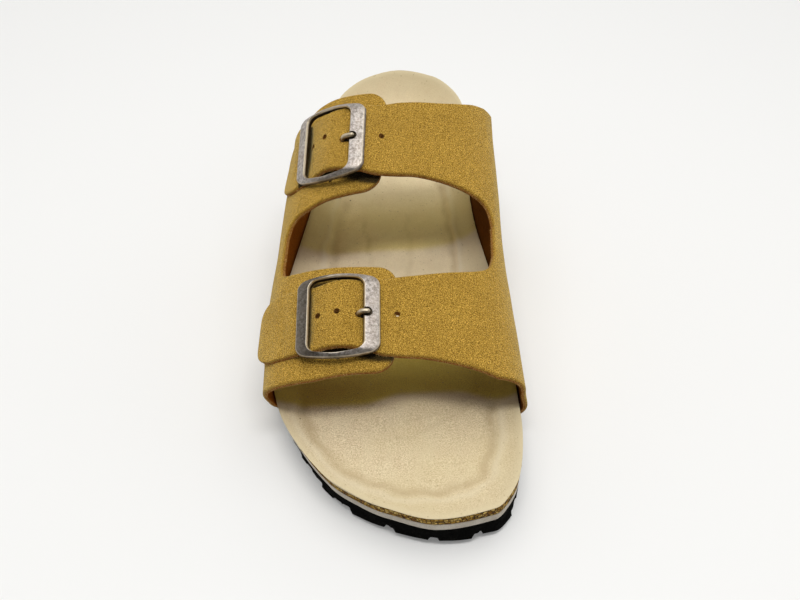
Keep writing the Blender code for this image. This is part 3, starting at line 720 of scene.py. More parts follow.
class Paint:
    """A material with a Principled shader and short ways to add the nodes that feed it."""

    def __init__(self, name, roughness, **sockets):
        self.material = bpy.data.materials.new(name)
        self.material.use_nodes = True
        self.tree = self.material.node_tree
        self.shader = self.tree.nodes["Principled BSDF"]
        self.place = self.tree.nodes.new("ShaderNodeTexCoord").outputs["Object"]
        for label, value in {"Roughness": roughness, **sockets}.items():
            self.feed(self.shader.inputs[label.replace("_", " ")], value)

    def feed(self, socket, value):
        """Link a socket to an output, or give it a constant value."""
        if isinstance(value, bpy.types.NodeSocket):
            self.tree.links.new(value, socket)
        elif isinstance(value, tuple) and socket.type == "RGBA":
            socket.default_value = (*value, 1.0)
        else:
            socket.default_value = value

    def add(self, kind, **inputs):
        """New node with its inputs fed, an underscore standing for the space in a label."""
        node = self.tree.nodes.new("ShaderNode" + kind)
        for label, value in inputs.items():
            self.feed(node.inputs[label.replace("_", " ")], value)
        return node

    def stretched(self, scale):
        return self.add("Mapping", Vector=self.place, Scale=scale).outputs["Vector"]

    def along(self, axis):
        """Place along an axis of the shoe, a share of PLACE_SPAN with its middle at a half."""
        part = self.add("SeparateXYZ", Vector=self.place).outputs[axis]
        return self.math("ADD", self.times(part, 1.0 / PLACE_SPAN), 0.5)

    def noise(self, size, detail=3.0, roughness=0.6, place=None):
        """Cloudy noise with features of about the given size in millimetres."""
        shape = {"Scale": 1.0 / (size * MM), "Detail": detail, "Roughness": roughness}
        return self.add("TexNoise", Vector=place or self.place, **shape).outputs["Fac"]

    def cells(self, size, output="Distance", feature="F1"):
        """Rounded cells of about the given size in millimetres."""
        node = self.add("TexVoronoi", Vector=self.place, Scale=1.0 / (size * MM))
        node.feature = feature
        return node.outputs[output]

    def value(self, label):
        node = self.add("Attribute")
        node.attribute_name = label
        return node.outputs["Fac"]

    def ramp(self, factor, *stops):
        """Colours or greys along a factor, each stop a place and a colour or a number."""
        node = self.add("ValToRGB", Fac=factor)
        elements = node.color_ramp.elements
        while len(elements) < len(stops):
            elements.new(0.5)
        for element, (place, tone) in zip(elements, stops):
            element.position = place
            element.color = (*tone, 1.0) if isinstance(tone, tuple) else (tone, tone, tone, 1.0)
        return node.outputs["Color"]

    def mix(self, factor, first, second, blend="MIX"):
        node = self.add("Mix")
        node.data_type = "RGBA"
        node.blend_type = blend
        for number, value in ((0, factor), (6, first), (7, second)):
            self.feed(node.inputs[number], value)
        return node.outputs[2]

    def over(self, tone, colour, factor, *stops):
        """Lay a colour over a tone, by a ramp along a factor."""
        return self.mix(self.ramp(factor, *stops), tone, colour)

    def math(self, operation, first, second):
        node = self.add("Math")
        node.operation = operation
        for socket, value in zip(node.inputs, (first, second)):
            self.feed(socket, value)
        return node.outputs[0]

    def times(self, first, second):
        return self.math("MULTIPLY", first, second)

    def bump(self, height, depth, strength=1.0, under=None):
        """Relief of the given depth in millimetres, on top of another relief."""
        node = self.add("Bump", Height=height, Distance=depth * MM, Strength=strength)
        if under is not None:
            self.feed(node.inputs["Normal"], under)
        return node.outputs["Normal"]

    def done(self, colour, normal=None, roughness=None):
        for label, value in (("Base Color", colour), ("Normal", normal), ("Roughness", roughness)):
            if value is not None:
                self.feed(self.shader.inputs[label], value)
        return self.material


def nubuck():
    """Tan leather with a short speckled nap, browner and rubbed at its edges, near black with painted shade
    under buckles.
    """
    sheen = {"Sheen_Weight": 0.42, "Sheen_Roughness": 0.4, "Sheen_Tint": (1.0, 0.92, 0.5)}
    paint = Paint("nubuck_nap", 0.92, Specular_IOR_Level=0.12, **sheen)
    grain = paint.noise(0.28, 2.0, 0.5)
    pile = paint.cells(0.5)
    broad = paint.noise(14.0, 3.0, 0.55)
    brushed = paint.noise(0.8, 2.0, 0.5, paint.stretched((0.3, 0.75, 0.75)))
    tone = paint.ramp(
        grain, (0.375, (0.09, 0.043, 0.004)), (0.5, (0.37, 0.205, 0.021)), (0.625, (0.86, 0.54, 0.105))
    )
    tone = paint.over(tone, (0.52, 0.315, 0.05), pile, (0.05, 0.3), (0.45, 0.0))
    tone = paint.over(tone, (0.27, 0.145, 0.016), broad, (0.3, 0.25), (0.7, 0.0))
    tone = paint.over(tone, (0.25, 0.135, 0.018), brushed, (0.5, 0.0), (0.72, 0.12))
    edge = paint.ramp(paint.value("edge"), (0.0, 0.55), (0.35, 0.15), (0.8, 0.0))
    tone = paint.mix(edge, tone, (0.20, 0.092, 0.012))
    # Near black painted shade on the leather beneath the buckles
    crevice = paint.times(paint.value("crevice"), 0.95)
    tone = paint.mix(crevice, tone, (0.010, 0.006, 0.002))
    relief = paint.bump(paint.math("ADD", grain, pile), 0.35, 0.8)
    return paint.done(tone, relief)


def flesh_side():
    """Orange-brown fibrous inner face of the leather, with painted shade towards its inner (medial) side."""
    paint = Paint("leather_flesh_side", 0.95, Specular_IOR_Level=0.05)
    fibre = paint.noise(0.7, 4.0, 0.7, paint.stretched((1.0, 0.5, 1.0)))
    broad = paint.noise(9.0, 2.0)
    tone = paint.ramp(fibre, (0.3, (0.11, 0.027, 0.001)), (0.7, (0.30, 0.085, 0.003)))
    tone = paint.over(tone, (0.25, 0.078, 0.003), broad, (0.35, 0.0), (0.7, 0.4))
    # Much darker towards the inner (medial) side: painted shade on the inner wall seen through the opening
    tone = paint.over(tone, (0.05, 0.018, 0.001), paint.along("X"), (0.6, 0.0), (0.68, 0.65))
    return paint.done(tone, paint.bump(fibre, 0.35, 0.8))


def cut_edge():
    """Raw cut edge of the leather, red-brown with pale fibres."""
    paint = Paint("leather_cut_edge", 0.95, Specular_IOR_Level=0.1)
    fibre = paint.noise(0.45, 4.0, 0.75)
    fleck = paint.cells(0.55)
    tone = paint.ramp(
        fibre, (0.34, (0.085, 0.027, 0.004)), (0.52, (0.31, 0.13, 0.025)), (0.72, (0.52, 0.29, 0.075))
    )
    tone = paint.over(tone, (0.70, 0.48, 0.20), fleck, (0.08, 0.75), (0.28, 0.0))
    return paint.done(tone, paint.bump(fibre, 0.4, 1.0))


def suede():
    """Pale beige split suede with mottling, a fine speckle, a few dark specks and a shadow painted under the
    straps.
    """
    sheen = {"Sheen_Weight": 0.15, "Sheen_Roughness": 0.5, "Sheen_Tint": (1.0, 0.95, 0.8)}
    paint = Paint("suede_liner", 0.95, Specular_IOR_Level=0.1, **sheen)
    grain = paint.noise(0.5, 2.0, 0.65)
    mottle = paint.noise(8.0, 5.0, 0.65)
    streak = paint.noise(9.0, 4.0, 0.6, paint.stretched((1.0, 0.35, 1.0)))
    broad = paint.noise(40.0, 2.0, 0.5)
    tone = paint.ramp(
        grain, (0.35, (0.48, 0.37, 0.22)), (0.5, (0.685, 0.56, 0.36)), (0.65, (0.90, 0.775, 0.55))
    )
    tone = paint.over(tone, (0.81, 0.685, 0.455), paint.along("Y"), (0.1, 0.0), (0.3, 0.7))
    tone = paint.over(tone, (0.62, 0.475, 0.305), mottle, (0.42, 0.0), (0.68, 0.4))
    tone = paint.over(tone, (0.74, 0.64, 0.43), streak, (0.45, 0.0), (0.7, 0.5))
    tone = paint.over(tone, (0.64, 0.53, 0.30), broad, (0.4, 0.0), (0.7, 0.45))
    rim = paint.ramp(paint.times(paint.value("rim"), 0.05), (0.0, 0.9), (0.25, 0.6), (0.75, 0.0))
    tone = paint.mix(paint.times(rim, 0.6), tone, (0.56, 0.47, 0.29))
    lip = paint.ramp(paint.times(paint.value("rim"), 0.2), (0.25, 0.7), (0.7, 0.0))
    tone = paint.mix(lip, tone, (0.66, 0.56, 0.36))
    # Darker in blotches along the pressed lines, soiling and painted shade there; lighter on the ridges, a
    # painted highlight
    hollow = paint.ramp(paint.value("press"), (0.08, 0.0), (0.7, 0.6))
    hollow = paint.times(hollow, paint.ramp(mottle, (0.3, 0.5), (0.6, 1.0)))
    tone = paint.mix(hollow, tone, (0.45, 0.34, 0.19))
    raised = paint.ramp(paint.times(paint.value("press"), -1.0), (0.08, 0.0), (0.5, 0.6))
    tone = paint.mix(raised, tone, (0.73, 0.635, 0.45))
    # Painted shadow under the straps, dark and warm
    tone = paint.mix(paint.value("dye"), tone, (0.90, 0.84, 0.26), "MULTIPLY")
    speck = paint.ramp(paint.cells(1.7), (0.08, 1.0), (0.24, 0.0))
    speck = paint.times(speck, paint.ramp(paint.noise(2.6, 1.0), (0.5, 0.0), (0.62, 0.7)))
    tone = paint.mix(speck, tone, (0.36, 0.27, 0.15))
    dot = paint.ramp(paint.cells(7.0), (0.04, 1.0), (0.06, 0.0))
    dot = paint.times(dot, paint.ramp(paint.noise(5.0, 1.0), (0.52, 0.0), (0.6, 1.0)))
    tone = paint.mix(dot, tone, (0.09, 0.05, 0.02))
    relief = paint.bump(grain, 0.2, 0.7)
    return paint.done(tone, paint.bump(mottle, 0.6, 0.35, relief))


def cork():
    """Pressed golden cork grains with dark cracks between them."""
    paint = Paint("pressed_cork", 0.7, Specular_IOR_Level=0.08)
    grain = paint.cells(1.6, "Color")
    gap = paint.cells(1.6, "Distance", "DISTANCE_TO_EDGE")
    small = paint.noise(0.8, 4.0, 0.7)
    parts = paint.add("SeparateColor", Color=grain)
    tone = paint.ramp(
        parts.outputs[0], (0.0, (0.20, 0.082, 0.008)), (0.4, (0.56, 0.325, 0.045)), (1.0, (0.84, 0.60, 0.18))
    )
    tone = paint.over(tone, (0.12, 0.045, 0.007), small, (0.38, 0.75), (0.6, 0.0))
    bit = paint.ramp(paint.cells(1.3), (0.12, 1.0), (0.24, 0.0))
    bit = paint.times(bit, paint.ramp(small, (0.45, 0.0), (0.55, 1.0)))
    tone = paint.mix(bit, tone, (0.035, 0.012, 0.002))
    tone = paint.over(tone, (0.03, 0.011, 0.002), gap, (0.04, 1.0), (0.13, 0.0))
    relief = paint.bump(gap, 0.6, 0.6)
    return paint.done(tone, paint.bump(small, 0.4, 0.7, relief))


def pale_foam():
    """Light grey-beige foam band, slightly soiled."""
    paint = Paint("pale_foam", 0.75, Specular_IOR_Level=0.25)
    soil = paint.noise(6.0, 4.0, 0.65)
    pore = paint.noise(0.5, 3.0, 0.6)
    tone = paint.ramp(soil, (0.35, (0.50, 0.45, 0.375)), (0.7, (0.66, 0.61, 0.53)))
    tone = paint.over(tone, (0.38, 0.32, 0.25), pore, (0.38, 0.4), (0.55, 0.0))
    return paint.done(tone, paint.bump(pore, 0.25, 0.7))


def black_foam():
    """Black foam rubber with a fine moulded skin and a little dust."""
    paint = Paint("black_foam", 0.9, Specular_IOR_Level=0.02)
    skin = paint.noise(0.8, 4.0, 0.7)
    dust = paint.noise(4.0, 5.0, 0.7)
    tone = paint.ramp(dust, (0.5, (0.0025, 0.0024, 0.002)), (0.8, (0.008, 0.0075, 0.0065)))
    grit = paint.ramp(paint.cells(2.2), (0.05, 1.0), (0.1, 0.0))
    grit = paint.times(grit, paint.ramp(dust, (0.52, 0.0), (0.6, 1.0)))
    tone = paint.mix(grit, tone, (0.08, 0.07, 0.055))
    return paint.done(tone, paint.bump(skin, 0.4, 0.9))


def old_metal(name, hue):
    """Antique plating, mottled darker, brassy where rubbed and where a highlight is painted, dark with dirt
    and painted shade.
    """
    paint = Paint(name, 0.4, Metallic=1.0)
    mottle = paint.noise(1.3, 5.0, 0.75)
    fine = paint.noise(0.45, 3.0, 0.7)
    broad = paint.noise(6.0, 3.0, 0.5)
    tone = paint.ramp(
        mottle, (0.36, (0.125, 0.11, 0.10)), (0.52, (0.40, 0.365, 0.34)), (0.68, (0.71, 0.655, 0.62))
    )
    tone = paint.over(tone, (0.40, 0.325, 0.28), broad, (0.4, 0.0), (0.72, 0.5))
    tone = paint.mix(1.0, tone, hue, "MULTIPLY")
    # Brassy where the frame is rubbed, and a painted highlight along the prong's top
    worn = paint.ramp(paint.value("worn"), (0.0, 0.0), (1.0, 0.9))
    tone = paint.mix(worn, tone, (0.68, 0.60, 0.45))
    # Dark with dirt in the hollows and with painted shade on the frame's inner walls, underside and dim
    # rails, and under the prong
    tone = paint.over(tone, (0.045, 0.035, 0.02), paint.value("grime"), (0.0, 0.0), (1.0, 0.92))
    relief = paint.bump(paint.math("ADD", mottle, fine), 0.14, 0.6)
    rough = paint.ramp(fine, (0.3, 0.36), (0.7, 0.55))
    return paint.done(tone, relief, rough)


def grimy_metal():
    """Dark dirt in the hollows of the metal, with painted shade deep in the prong's notch."""
    paint = Paint("grimy_metal", 0.6, Metallic=0.8)
    dirt = paint.noise(0.8, 4.0, 0.7)
    tone = paint.ramp(dirt, (0.35, (0.018, 0.013, 0.007)), (0.7, (0.085, 0.065, 0.035)))
    return paint.done(tone, paint.bump(dirt, 0.15, 0.6))


def pale_fibre():
    """Loose fibres of the cut edges."""
    paint = Paint("leather_fibre", 0.9)
    tone = paint.ramp(paint.noise(3.0), (0.4, (0.34, 0.19, 0.045)), (0.6, (0.62, 0.43, 0.17)))
    return paint.done(tone)


MATERIALS = {
    "nap": nubuck(),
    "flesh": flesh_side(),
    "cut": cut_edge(),
    "suede": suede(),
    "cork": cork(),
    "pale": pale_foam(),
    "black": black_foam(),
    "metal": old_metal("antique_metal", (1.0, 1.0, 1.0)),
    "brass": old_metal("antique_brass", (0.85, 0.72, 0.48)),
    "grime": grimy_metal(),
    "fibre": pale_fibre(),
}
LEATHER_FACES = [MATERIALS["nap"], MATERIALS["flesh"], MATERIALS["cut"]]


# Sole


def lug_recess():
    """How far the sole's lower edge stands back, round the rim from the toe, with a step at every lug."""
    run = np.linspace(0.0, 1.0, SOLE_ROWS + 1) * SOLE_ROWS
    half = 1.0 - (run * LUG_ROW / GROOVE_PITCH) % 1.0
    return LUG_STEP * (np.concatenate([half, half[-2:0:-1]]) - LUG_PROUD)


def toe_flare(y):
    """How far the foot of the outsole spreads round the toe."""
    return -TOE_FLARE * ease((TOE_FLARE_FROM - y) / TOE_FLARE_RUN)


def sole_layer(
    name, top, bottom, columns, material, seat=None, side_rows=SIDE_ROWS,
    swell=0.0, rough=None, lugs=False, marks=None,
):
    """One layer of the sole, lofted in rows across the rim's outline, with a side wall of uneven rows."""
    blocks = []
    faces = []
    shares = crowded(columns, EDGE_CROWDING)

    def add_points(grid):
        first = sum(len(block) for block in blocks)
        blocks.append(grid.reshape(-1, 3))
        return first + np.arange(len(blocks[-1])).reshape(grid.shape[:-1])

    def add_quads(index):
        near = index[:-1]
        far = index[1:]
        quads = np.stack([near[:, :-1], near[:, 1:], far[:, 1:], far[:, :-1]], -1)
        faces.extend(quads.reshape(-1, 4).tolist())

    def add_face(height, step):
        ends = []
        for points, normals in (LATERAL_EDGE, MEDIAL_EDGE):
            inset = undercut(points, normals, height(points[:, 0], points[:, 1]))
            if step is not None:
                inset = inset + step(points[:, 1])
            ends.append(points - normals * inset[:, None])
        flat = ends[0][:, None] + (ends[1] - ends[0])[:, None] * shares[:, None]
        index = add_points(np.dstack([flat, height(flat[..., 0], flat[..., 1])]))
        add_quads(index)
        return index

    top_index = add_face(top, None)
    low_index = add_face(bottom, seat)
    points = np.vstack(blocks)
    upper = np.concatenate([top_index[:, 0], top_index[-2:0:-1, -1]])
    lower = np.concatenate([low_index[:, 0], low_index[-2:0:-1, -1]])
    outward = np.vstack([LATERAL_EDGE[1], MEDIAL_EDGE[1][-2:0:-1]])
    step_back = np.zeros((len(upper), 3))
    if lugs:
        recess = lug_recess()
        step_back[:, :2] = -outward * recess[:, None]
        step_back[:, 2] = np.maximum(recess, 0.0) * LUG_RISE
    rows = [upper]
    wall_from = len(points)
    for k in range(1, side_rows):
        t = k / side_rows
        row = points[upper] * (1 - t) + points[lower] * t
        row[:, :2] += outward * (swell * math.sin(math.pi * t))
        row += step_back * float(ease((t - LUG_FROM) / (1 - LUG_FROM)))
        rows.append(add_points(row))
    rows.append(lower)
    loop = np.array(rows).T
    add_quads(np.vstack([loop, loop[:1]]))
    points = np.vstack(blocks)
    points[lower] += step_back
    # All points of the first and last row lie on the toe tip and the heel tip
    points[low_index[[0, -1], 1:]] = points[low_index[[0, -1], :1]]
    if rough:
        height, run = rough
        wander = [noise.noise_vector(Vector(point / run)) for point in points[wall_from:]]
        points[wall_from:] += np.array(wander) * height
    mesh = write_mesh(name, points, faces, None, marks(points) if marks else None)
    shade(mesh, SHARP_SOLE)
    return add_object(name, mesh, [material])


def groove_ring(low, across):
    """Trapezoid section of a tread groove, wider at the ground."""
    ring = []
    flare = (GROOVE_MOUTH - GROOVE_ROOT) / GROOVE_DEPTH
    foot = GROOVE_MOUTH + flare * GROOVE_BELOW
    for half_width, height in ((foot, -GROOVE_BELOW), (GROOVE_ROOT, GROOVE_DEPTH)):
        for side in (-1, 1) if height < 0 else (1, -1):
            ring.append(tuple(low + across * side * half_width + np.array([0, 0, height])))
    return ring


def groove_cutter(name, runs):
    """One cutter mesh from several straight grooves, each a list of places and a direction across."""
    vertices = []
    faces = []
    for places, across in runs:
        first = len(vertices)
        rings = [groove_ring(np.array([x, y, float(ground(x, y))]), np.array(across)) for x, y in places]
        for ring in rings:
            vertices.extend(ring)
        faces.extend([[first + k for k in face] for face in ring_faces(len(rings), len(rings[0]))])
    return add_object(name, write_mesh(name, vertices, faces), [])


def outsole():
    """Outsole with stepped lugs, a flared toe and grooves cut both ways."""
    thing = sole_layer(
        "outsole_tread",
        outsole_top,
        ground,
        FLAT_COLUMNS,
        MATERIALS["black"],
        seat=toe_flare,
        side_rows=TREAD_ROWS,
        rough=TREAD_ROUGH,
        lugs=True,
    )
    cross = []
    for k in range(CROSS_GROOVES):
        y = CROSS_GROOVE_FIRST + GROOVE_PITCH * k
        cross.append((((-GROOVE_HALF_SPAN, y), (GROOVE_HALF_SPAN, y)), (0, 1, 0)))
    along = []
    for groove in LONG_GROOVES:
        count = round((groove.y_to - groove.y_from) / LONG_GROOVE_STEP)
        places = [(groove.x, y) for y in np.linspace(groove.y_from, groove.y_to, count + 1)]
        along.append((places, (1, 0, 0)))
    boolean(thing, groove_cutter("cross_grooves", cross))
    boolean(thing, groove_cutter("long_grooves", along))
    shade(thing.data, SHARP_TREAD)
    return thing


# Upper


def last_section(y):
    """Girth, x and z of the leather's inner face across the foot, lateral foot to medial foot."""
    shape = {name: float(smooth(column(LAST, "y"), column(LAST, name), y)) for name in Last._fields[1:]}
    halves = []
    for side, half, spring in ((1, MEDIAL_HALF, "medial"), (-1, LATERAL_HALF, "lateral")):
        edge = float(rim_x(half, y))
        rim = float(level("rim_" + spring, y))
        foot = float(cork_bottom(edge, y))
        tuck = undercut(np.array([[edge, y]]), np.array([[side, 0.0]]), foot)[0] + float(leather_seat(y))
        spring_x = shape[spring + "_x"]
        spring_z = shape[spring + "_z"]
        knots_z = (foot, min(rim, spring_z - RIM_BELOW_SPRING), spring_z)
        knots_x = (edge - side * (tuck - 2 * FIT_GAP), edge + side * RIM_CLEAR, spring_x)
        heights = np.linspace(foot, spring_z, WALL_STEPS)
        wall = np.stack([smooth(knots_z, knots_x, heights, True), heights], 1)
        turn = np.linspace(0, math.pi / 2, ARCH_STEPS)[1:]
        power = 2 / INSTEP_SQUARENESS
        arch_x = shape["crown_x"] + (spring_x - shape["crown_x"]) * np.cos(turn) ** power
        arch_z = spring_z + (shape["crown_z"] - spring_z) * np.sin(turn) ** power
        halves.append(np.vstack([wall, np.stack([arch_x, arch_z], 1)]))
    medial, lateral = halves
    line = np.vstack([lateral, medial[::-1][1:]])
    run = run_along(line)
    return run - run[len(lateral) - 1], line[:, 0], line[:, 1]


def last_tables():
    """The last's x and z over a grid of y and girth, and the girths of its two feet for each y."""
    xs = []
    zs = []
    feet = []
    for y in SECTION_Y:
        girths, line_x, line_z = last_section(y)
        xs.append(np.interp(SECTION_GIRTH, girths, line_x))
        zs.append(np.interp(SECTION_GIRTH, girths, line_z))
        feet.append((girths[0], girths[-1]))
    return np.array(xs), np.array(zs), np.array(feet)


LAST_X, LAST_Z, LAST_FEET = last_tables()


def from_table(values, girth, y):
    """Value of a table at girths and y, between its four nearest entries."""

    def entry(place, steps):
        share = np.clip((place - steps[0]) / (steps[1] - steps[0]), 0, len(steps) - TABLE_END)
        return share.astype(int), share - share.astype(int)

    i, u = entry(y, SECTION_Y)
    j, v = entry(girth, SECTION_GIRTH)
    near = values[i, j] * (1 - v) + values[i, j + 1] * v
    far = values[i + 1, j] * (1 - v) + values[i + 1, j + 1] * v
    return near * (1 - u) + far * u


def foot_girth(y, side):
    return np.interp(y, SECTION_Y, LAST_FEET[:, 1 if side > 0 else 0])


def on_last(girth, y, lift=0.0):
    """Points of the last at girths from the crown, and their outward normals."""
    girth = np.asarray(girth, float)
    y = np.asarray(y, float)
    low = np.maximum(girth - NORMAL_STEP, foot_girth(y, -1))
    high = np.minimum(girth + NORMAL_STEP, foot_girth(y, 1))
    dx = from_table(LAST_X, high, y) - from_table(LAST_X, low, y)
    dz = from_table(LAST_Z, high, y) - from_table(LAST_Z, low, y)
    point = np.stack([from_table(LAST_X, girth, y), y, from_table(LAST_Z, girth, y)], -1)
    above_foot = point[..., 2] - cork_bottom(point[..., 0], y)
    normal = unit(np.stack([-dz, np.zeros_like(dz), dx * ease(above_foot / SQUARE_FOOT)], -1))
    return point + normal * np.asarray(lift, float)[..., None], normal


def buckle_axes(buckle):
    turn = Euler([math.radians(a) for a in buckle.turn]).to_matrix()
    return np.array(buckle.centre), np.array(turn)


def place_on_buckle(points, buckle):
    centre, axes = buckle_axes(buckle)
    return np.asarray(points) @ axes.T + centre


def strap_lift(buckle, girth, y):
    """Lift of the strap: over the bar, under the frame's ends, down on to the last and the outer panel."""
    centre, axes = buckle_axes(buckle)
    height = (on_last(girth, y)[0] - centre) @ axes[:, 2]
    lift = np.zeros(np.shape(girth))
    for _ in range(STRAP_PASSES):
        point, normal = on_last(girth, y, lift)
        along = (point - centre) @ axes[:, 0]
        reach = np.minimum(np.abs(along), STRAP_SAG_REACH) / STRAP_SAG_REACH
        under = -BAR_DROP + BAR_RADIUS + STRAP_OVER_BAR - STRAP_SAG * (1 - np.cos(math.pi * reach)) / 2
        dip = STRAP_DIP * ease((STRAP_DIP_SPAN - np.abs((point - centre) @ axes[:, 1])) / STRAP_DIP_FADE)
        for rail in (WINDOW_SHIFT - WINDOW_LENGTH / 2, WINDOW_SHIFT + WINDOW_LENGTH / 2):
            under = under - dip * np.exp(-(((along - rail) / STRAP_DIP_WIDTH) ** 2))
        raised = (under - height) / np.maximum(normal @ axes[:, 2], STRAP_LEAST_TILT)
        inner = np.exp(-np.maximum(along - STRAP_DOWN_FROM, 0.0) / STRAP_DOWN_RUN)
        outer = 1 - ease((-along - TAIL_DOWN_FROM) / TAIL_DOWN_RUN)
        flare = buckle.tail_flare * ease((-along - TAIL_FLARE_FROM) / TAIL_FLARE_RUN)
        share = np.where(along > 0, inner, outer)
        rest = np.where(along > 0, 0.0, LEATHER - TAIL_BITE + flare)
        lift = np.maximum(share * raised + (1 - share) * rest, rest)
    return lift


def rounded(distance, radius):
    """How far an edge draws in near a rounded end."""
    short = np.maximum(radius - distance, 0.0)
    return radius - np.sqrt(np.maximum(radius * radius - short * short, 0.0))


def side_panel(side, front_table, rear_table, end_radius, columns, foot, on_buckles):
    """Grid of girth, y and lift for one side of the foot with its two bands, and the grid's filled cells."""
    last_row = 2 * BAND_ROWS + WINDOW_ROWS
    shape = (columns + PANEL_COLUMNS + 1, last_row + 1)
    girth = np.full(shape, np.nan)
    y = np.full(shape, np.nan)
    lift = np.zeros(shape)
    window_girth = front_table[-1].girth if side > 0 else front_table[0].girth
    share = crowded(columns, TIP_CROWDING)
    across = crowded(BAND_ROWS, EDGE_CROWDING)
    first_rows = (0, BAND_ROWS + WINDOW_ROWS)
    for edges, first_row, buckle in zip((front_table, rear_table), first_rows, BUCKLES):
        tip = edges[0].girth if side > 0 else edges[-1].girth
        along = tip + (window_girth - tip) * share
        draw = rounded(np.abs(along - tip), end_radius)
        front = band(edges, "front", along) + draw
        rear = band(edges, "rear", along) - draw
        rows = slice(first_row, first_row + BAND_ROWS + 1)
        girth[: columns + 1, rows] = along[:, None]
        y[: columns + 1, rows] = front[:, None] + (rear - front)[:, None] * across
        if on_buckles:
            lift[: columns + 1, rows] = strap_lift(buckle, girth[: columns + 1, rows], y[: columns + 1, rows])
    gap = np.linspace(0, 1, WINDOW_ROWS + 1)
    rows = slice(BAND_ROWS, BAND_ROWS + WINDOW_ROWS + 1)
    window_front = y[columns, BAND_ROWS]
    window_rear = y[columns, BAND_ROWS + WINDOW_ROWS]
    y[columns, rows] = window_front + (window_rear - window_front) * gap
    start = y[columns]
    end = foot.front + (foot.rear - foot.front) * (start - start[0]) / (start[-1] - start[0])
    girth[columns] = window_girth
    for i in range(1, PANEL_COLUMNS + 1):
        down = (i / PANEL_COLUMNS) ** WINDOW_CROWDING
        y[columns + i] = start + (end - start) * down
        girth[columns + i] = window_girth + (foot_girth(y[columns + i], side) - window_girth) * down
    filled = np.ones((shape[0] - 1, shape[1] - 1), bool)
    filled[:columns, BAND_ROWS : BAND_ROWS + WINDOW_ROWS] = False
    return girth, y, lift, filled


def boundary_loops(cells):
    """Directed edges that only one cell uses, as pairs of node numbers."""
    uses = {}
    for cell in cells:
        for a, b in zip(cell, cell[1:] + cell[:1]):
            uses.setdefault(frozenset((a, b)), []).append((a, b))
    return [pairs[0] for pairs in uses.values() if len(pairs) == 1]


def edge_distance(points, rim_edges):
    """Distance of each point of a sheet to the sheet's own edge."""
    samples = []
    for a, b in rim_edges:
        count = max(1, int(np.linalg.norm(points[b] - points[a]) / EDGE_SAMPLE))
        samples.extend(points[a] + (points[b] - points[a]) * k / count for k in range(count))
    tree = KDTree(len(samples))
    for k, sample in enumerate(samples):
        tree.insert(sample, k)
    tree.balance()
    return np.array([tree.find(point)[2] for point in points])


def soft_wave(points):
    """Slow uneven swell of the leather."""
    return np.array([SOFT_WAVE * noise.noise(Vector(point / SOFT_WAVE_RUN)) for point in points])


def under_rails(local):
    """How far under a buckle's end rails each place of the strap is, in the buckle's own frame."""
    # Mask of the shade painted on the strap where it dips under the end rails
    along, across, _ = local.T
    from_window = np.abs(along - WINDOW_SHIFT) - WINDOW_LENGTH / 2
    from_outside = FRAME_LENGTH / 2 - np.abs(along) - PAINTED_SHADE_FADE * (along > 0)
    under = ease(from_window / PAINTED_SHADE_WIDTH + 1) * ease(from_outside / PAINTED_SHADE_WIDTH)
    return under * (np.abs(across) < FRAME_WIDTH / 2)


def under_frame(local):
    """How far under a whole buckle each place of the outer panel is, in the buckle's own frame."""
    # Mask of the shade painted on the outer panel under the frame, reaching further out on the near side at
    # the prong's end
    along, across, _ = local.T
    near = PAINTED_SHADE_NEAR + (PAINTED_SHADE_CORNER - PAINTED_SHADE_NEAR) * ease(along / PAINTED_SHADE_NEAR)
    under = ease((WINDOW_LENGTH / 2 - np.abs(along)) / PAINTED_SHADE_FADE + 1)
    under = np.maximum(under, (along > 0) & (across < 0))
    return under * ease((PAINTED_SHADE_FAR - across) / PAINTED_SHADE_FADE) * ease((near + across) / PAINTED_SHADE_FADE)


def in_the_dark(points, under):
    """How much shade is painted on each place of a sheet, beneath both buckles."""
    dark = np.zeros(len(points))
    for buckle in BUCKLES:
        centre, axes = buckle_axes(buckle)
        local = (points - centre) @ axes
        dark = np.maximum(dark, under(local) * (np.abs(local[:, 2]) < FRAME_WIDTH / 2))
    return dark


